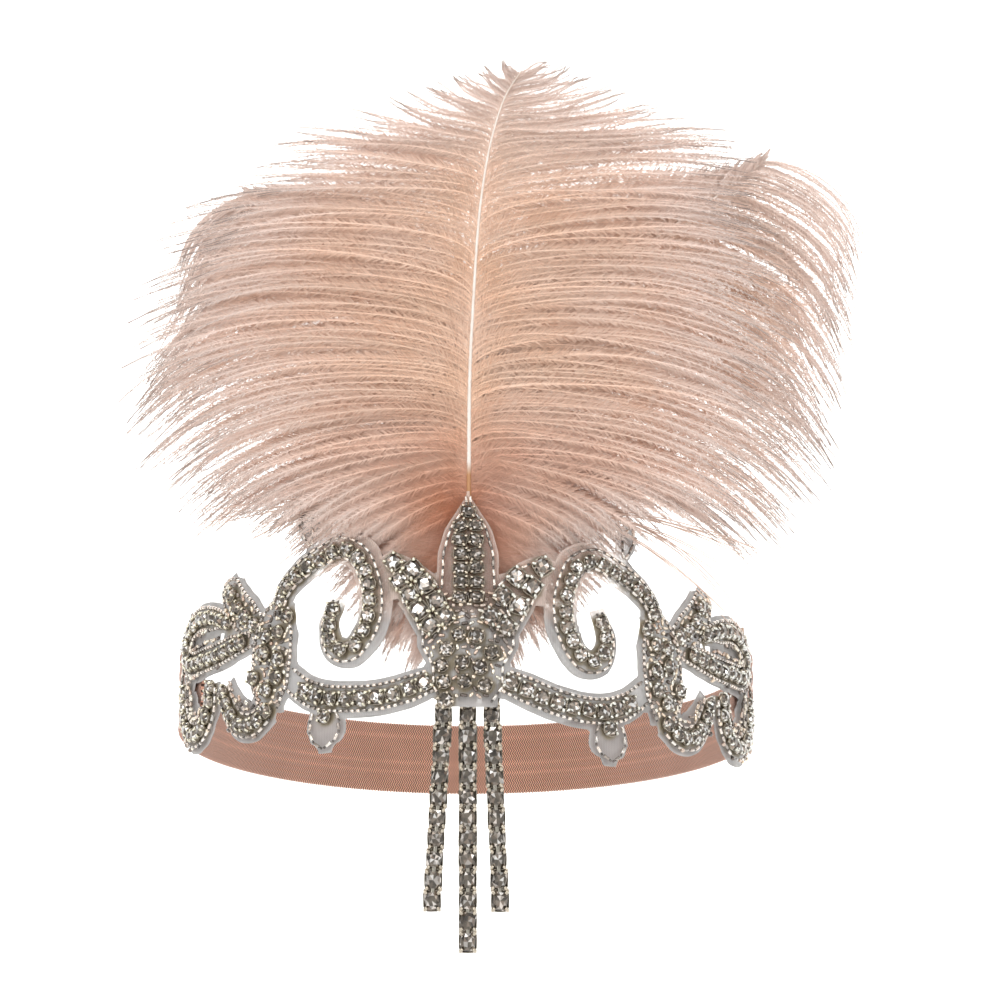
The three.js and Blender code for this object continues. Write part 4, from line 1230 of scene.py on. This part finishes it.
def vane_piece(name, node, plume, side, table, seed, count=265, fluff=420, soft=2.9,
               over=0.0):
    """One side of a plume. Each barb is a narrow tapering strip, and its barbules are slim
    triangles that leave it on both hands, long near its root and short at its tip. Barbs are
    drawn towards the middle of their lock, more so near their tips."""
    rng = np.random.default_rng(seed)
    line = quill_curve(plume)
    top, bottom = min(table[0][0], 0.985), table[-1][0]
    LOCKS, STEPS = 26, 22
    at = np.sort(top + (bottom - top) * (np.arange(count) + rng.uniform(0.1, 0.9, count)) / count)
    lock = (np.floor((at - bottom) / (top - bottom) * LOCKS) + rng.uniform(0.3, 0.7, count)) / LOCKS
    lock = bottom + (top - bottom) * np.clip(lock, 0, 1)
    share = np.linspace(0, 1, STEPS)[None] ** 1.25
    length = np.where(rng.random(count) < 0.3, rng.uniform(0.99, 1.05, count),
                      rng.uniform(0.84, 1.0, count))
    tilt = rng.normal(0, 3.6, count)
    own = barb_lines(line, plume, table, side, at, share, length, tilt)
    shared = barb_lines(line, plume, table, side, lock, share, length, 0 * tilt)
    high = np.clip((at - 0.78) / 0.17, 0, 1)
    pull = (0.5 + 0.25 * high[:, None, None]) * share[..., None] ** 1.5
    barbs = own + (shared - own) * pull
    phase = rng.uniform(0, 6.28, (count, 1))
    barbs[..., 2] += 0.9 * share * np.sin(phase + share * rng.uniform(3, 7, (count, 1)))
    barbs[..., 1] += (rng.normal(0, 0.9, (count, 1)) * np.minimum(1, share * 3)
                      + 1.2 * share * np.sin(phase * 2 + share * 5))
    barbs = behind_net(barbs, share, over)
    reach = np.linalg.norm(barbs[:, -1] - barbs[:, 0], axis=1)
    ahead = unit(np.gradient(barbs, axis=1))
    beside = unit(np.cross(ahead, FRONT))
    width = 0.17 * (1 - 0.5 * share[..., None])
    strip = np.stack([barbs - beside * width, barbs + beside * width], 2)
    strip_points = strip.reshape(-1, 3)
    pair = 2 * np.arange(STEPS - 1)
    quad = np.stack([pair, pair + 1, pair + 3, pair + 2], 1)
    strip_faces = (quad[None] + (np.arange(count) * STEPS * 2)[:, None, None]).reshape(-1, 4)
    colour = barb_colours(at, share, rng, count)
    # Painted shade: the thin bare tips of the barbs go dark brown.
    bare = np.clip((share - 0.80) / 0.12, 0, 1)[..., None]
    # The barb's own strip is 14 per cent lighter than its barbules: its paler shaft, with a painted
    # highlight along it.
    shaft = colour * 1.14 * (1 - bare) + TIP_SHADE_BROWN * bare
    strip_tint = np.repeat(np.clip(shaft, 0, 1), 2, axis=1).reshape(-1, 3)

    spot = rng.random((count, fluff)) * 0.94
    place = spot ** 0.8 * (STEPS - 1)
    step = np.minimum(place.astype(int), STEPS - 2)
    part = (place - step)[..., None]
    row = np.arange(count)[:, None]
    base = barbs[row, step] * (1 - part) + barbs[row, step + 1] * part
    lead = ahead[row, step]
    hand = np.where(rng.random((count, fluff)) < 0.5, -1.0, 1.0)[..., None]
    aside = beside[row, step] * hand
    open_angle = np.radians(rng.uniform(16, 46, (count, fluff)))[..., None]
    long = soft * (1 - 0.7 * high[:, None]) * (1 - spot**2.5) * np.clip(spot / 0.05, 0.4, 1)
    long = ((long + 0.35) * rng.uniform(0.5, 1.1, (count, fluff)))[..., None]
    aim = lead * np.cos(open_angle) + aside * np.sin(open_angle)
    aim = aim + FRONT * rng.normal(0, 0.16, (count, fluff))[..., None]
    wide = lead * 0.15 * np.clip(reach / 45, 0.35, 1)[:, None, None]
    fluff_points = np.stack([base - wide, base + wide, base + aim * long], 2).reshape(-1, 3)
    fluff_faces = np.arange(count * fluff * 3).reshape(-1, 3) + len(strip_points)
    fluff_colour = colour[row, step] * rng.uniform(0.86, 1.06, (count, fluff, 1))
    fluff_tint = np.repeat(fluff_colour.reshape(-1, 3), 3, axis=0)
    piece = add_mesh(name, np.vstack([strip_points, fluff_points]), [strip_faces, fluff_faces],
                     barb_finish, tint=np.clip(np.vstack([strip_tint, fluff_tint]), 0, 1))
    return finished(piece, "plume_peach", node)


def quill_piece(name, plume):
    """A round tapering tube along the quill's curve, amber at its bare foot and ivory above."""
    line = quill_curve(plume)
    run = lengths_of(line) / lengths_of(line)[-1]
    keep = np.unique(np.searchsorted(run, np.linspace(0, 1, 90)).clip(0, len(run) - 1))
    line, run = line[keep], run[keep]
    radii = 0.62 * (1 - run) ** 0.7 + 0.09
    points, faces = swept_tube(line, radii, 10, np.array([0.0, 1.0, 0.0]))
    pale = np.clip((run - 0.30) / 0.015, 0, 1)[:, None]
    tint = np.repeat(AMBER + (IVORY - AMBER) * pale, 10, axis=0)
    tint = np.vstack([tint, tint[:1], tint[-1:]])
    piece = add_mesh(f"{name}_quill", points, faces, quill_finish, tint=tint)
    finished(piece, "plume_peach", name)


# Long single barbs: where each bends and where it ends, to the right and up.
STRAYS = [
    ((46.0, 53.0), (71.2, 31.6)), ((40.0, 54.0), (68.2, 22.2)), ((56.0, 54.0), (70.6, 18.5)),
    ((50.0, 53.0), (78.3, 38.6)), ((48.0, 54.0), (76.8, 36.1)), ((-32.0, 57.0), (-56.8, 41.9)),
    ((-38.0, 55.0), (-63.8, 48.3)), ((-44.0, 56.0), (-67.1, 49.2)), ((-36.0, 56.0), (-58.5, 43.2)),
]
STRAY_STEPS = 16


def quill_stitches():
    """Loops of thread round each quill where it lies on the net: circles about its line."""
    turn = np.linspace(0, 2 * math.pi, 14)
    loops = []
    for plume in PLUMES.values():
        line = quill_curve(plume)
        run = lengths_of(line) / lengths_of(line)[-1]
        for share in (0.03, 0.06, 0.10, 0.14):
            middle = np.array([np.interp(share, run, column) for column in line.T])
            circle = middle + 0.95 * np.stack([np.cos(turn), np.sin(turn), 0.25 * np.sin(turn)], 1)
            loops.append(swept_tube(circle, np.full(14, 0.16), 5, np.array([0.0, 0.0, 1.0])))
    points, faces = together(loops)
    tint = np.tile([[0.72, 0.50, 0.42]], (len(points), 1))
    finished(add_mesh("quill_stitches", points, faces, thread_finish, tint=tint), "plume_peach")


def stray_barbs():
    """Long single barbs at the plumes' lower corners, each rooted on its plume's quill: for each,
    three strands on the curve (1-t)^2 root + 2t(1-t) bend + t^2 end, tapering to a point. The
    bend and the end keep the depth of the root."""
    rng = np.random.default_rng(610)
    share = np.linspace(0, 1, STRAY_STEPS)[:, None]
    strands, tints = [], []
    for bend, end in STRAYS:
        line = quill_curve(PLUMES["right" if end[0] > 0 else "left"])
        root = line[np.abs(line[:, 2] - bend[1]).argmin()]
        for _ in range(3):
            middle = np.array([bend[0], root[1], bend[1]]) + rng.normal(0, 0.5, 3)
            last = np.array([end[0], root[1], end[1]]) + rng.normal(0, 1.1, 3)
            strand = (1 - share) ** 2 * root + 2 * share * (1 - share) * middle + share**2 * last
            radii = 0.22 * (1 - share[:, 0]) ** 0.6 + 0.04
            strands.append(swept_tube(strand, radii, 5, FRONT))
            # Each stray barb is drawn part way to the painted tip shade.
            shade = BLUSH + (TIP_SHADE_BROWN - BLUSH) * rng.uniform(0.15, 0.45)
            tints.append(np.tile(shade, (len(strands[-1][0]), 1)))
    points, faces = together(strands)
    piece = add_mesh("stray_barbs", points, faces, barb_finish, tint=np.vstack(tints))
    finished(piece, "plume_peach")


def plume_pieces():
    for number, (name, plume) in enumerate(PLUMES.items()):
        node = f"plume_{name}"
        quill_piece(node, plume)
        for side, word in ((-1, "left"), (1, "right")):
            seed = 40 + 4 * number + side
            vane_piece(f"{node}_{word}_vane", node, plume, side, plume[word], seed)
            vane_piece(f"{node}_{word}_down", node, plume, side, plume[f"{word}_down"], seed + 40,
                       count=85, fluff=520, soft=3.6)
        for word in ("left_over", "right_over"):
            if word in plume:
                vane_piece(f"{node}_{word}", node, plume, -1 if word == "left_over" else 1,
                           plume[word], 140 + number, count=26, fluff=320, soft=2.2, over=3.6)


# The studio.


def studio():
    """A floor that curves up into a backdrop: a profile of floor, quarter circle and wall,
    carried straight from left to right."""
    turn = np.linspace(0, math.pi / 2, 24)
    y = np.concatenate([[-2500], 1500 + 700 * np.sin(turn), [2200]])
    z = np.concatenate([[0], 700 - 700 * np.cos(turn), [3200]]) - 130
    x = np.array([-3500.0, 3500.0])
    points = np.stack([
        np.broadcast_to(x[None], (len(y), 2)), np.broadcast_to(y[:, None], (len(y), 2)),
        np.broadcast_to(z[:, None], (len(y), 2)),
    ], -1).reshape(-1, 3)
    floor = add_mesh("studio_floor", points, [grid_faces(len(y), 2)[:, ::-1]], studio_material())

    def softbox(name, place, aim, size, power):
        light = bpy.data.lights.new(name, "AREA")
        light.shape = "RECTANGLE"
        light.size, light.size_y = size
        light.energy = power
        lamp = bpy.data.objects.new(name, light)
        bpy.context.scene.collection.objects.link(lamp)
        from_there = np.array(place) - np.array(aim)
        across = math.hypot(from_there[0], from_there[1])
        lamp.location = place
        lamp.rotation_euler = (math.atan2(across, from_there[2]), 0,
                               math.atan2(from_there[0], -from_there[1]))
        return lamp

    softbox("key softbox", (-0.9, -1.5, 1.1), (0, 0, 0.05), (1.5, 1.2), 11)
    softbox("fill softbox", (1.2, -1.3, 0.4), (0, 0, 0.05), (0.8, 0.8), 3)
    softbox("top softbox", (0.0, 0.4, 1.5), (0, 0, 0.05), (1.2, 0.8), 4)
    softbox("backdrop wash", (0.0, 0.9, 1.4), (0, 2.2, 0.2), (2.4, 0.6), 45)
    for number, place in enumerate([(-0.45, -1.2, 0.55), (0.5, -1.15, 0.6), (-0.75, -0.9, -0.05),
                                    (0.8, -0.85, 0.15), (0.1, -0.95, 0.95), (0.15, -1.1, -0.35)]):
        softbox(f"glint {number + 1}", place, (0, -0.09, 0), (0.13, 0.13), 0.3)
    world = bpy.data.worlds.new("pale room")
    world.use_nodes = True
    background = world.node_tree.nodes["Background"]
    background.inputs["Color"].default_value = (1.0, 0.99, 0.975, 1)
    background.inputs["Strength"].default_value = 0.7
    bpy.context.scene.world = world
    bpy.context.scene.view_settings.view_transform = "Standard"

    camera = bpy.data.cameras.new("camera")
    camera.lens = 134.3
    camera.sensor_width = 36
    eye = bpy.data.objects.new("camera", camera)
    bpy.context.scene.collection.objects.link(eye)
    eye.location = (0.009, -1.0, 0.054)
    eye.rotation_euler = (math.pi / 2, 0, 0)
    bpy.context.scene.camera = eye


studio()
organza_backing()
motif_stones()
bugle_rows()
filling_beads()
strand_pieces()
elastic_pieces()
plume_pieces()
quill_stitches()
stray_barbs()
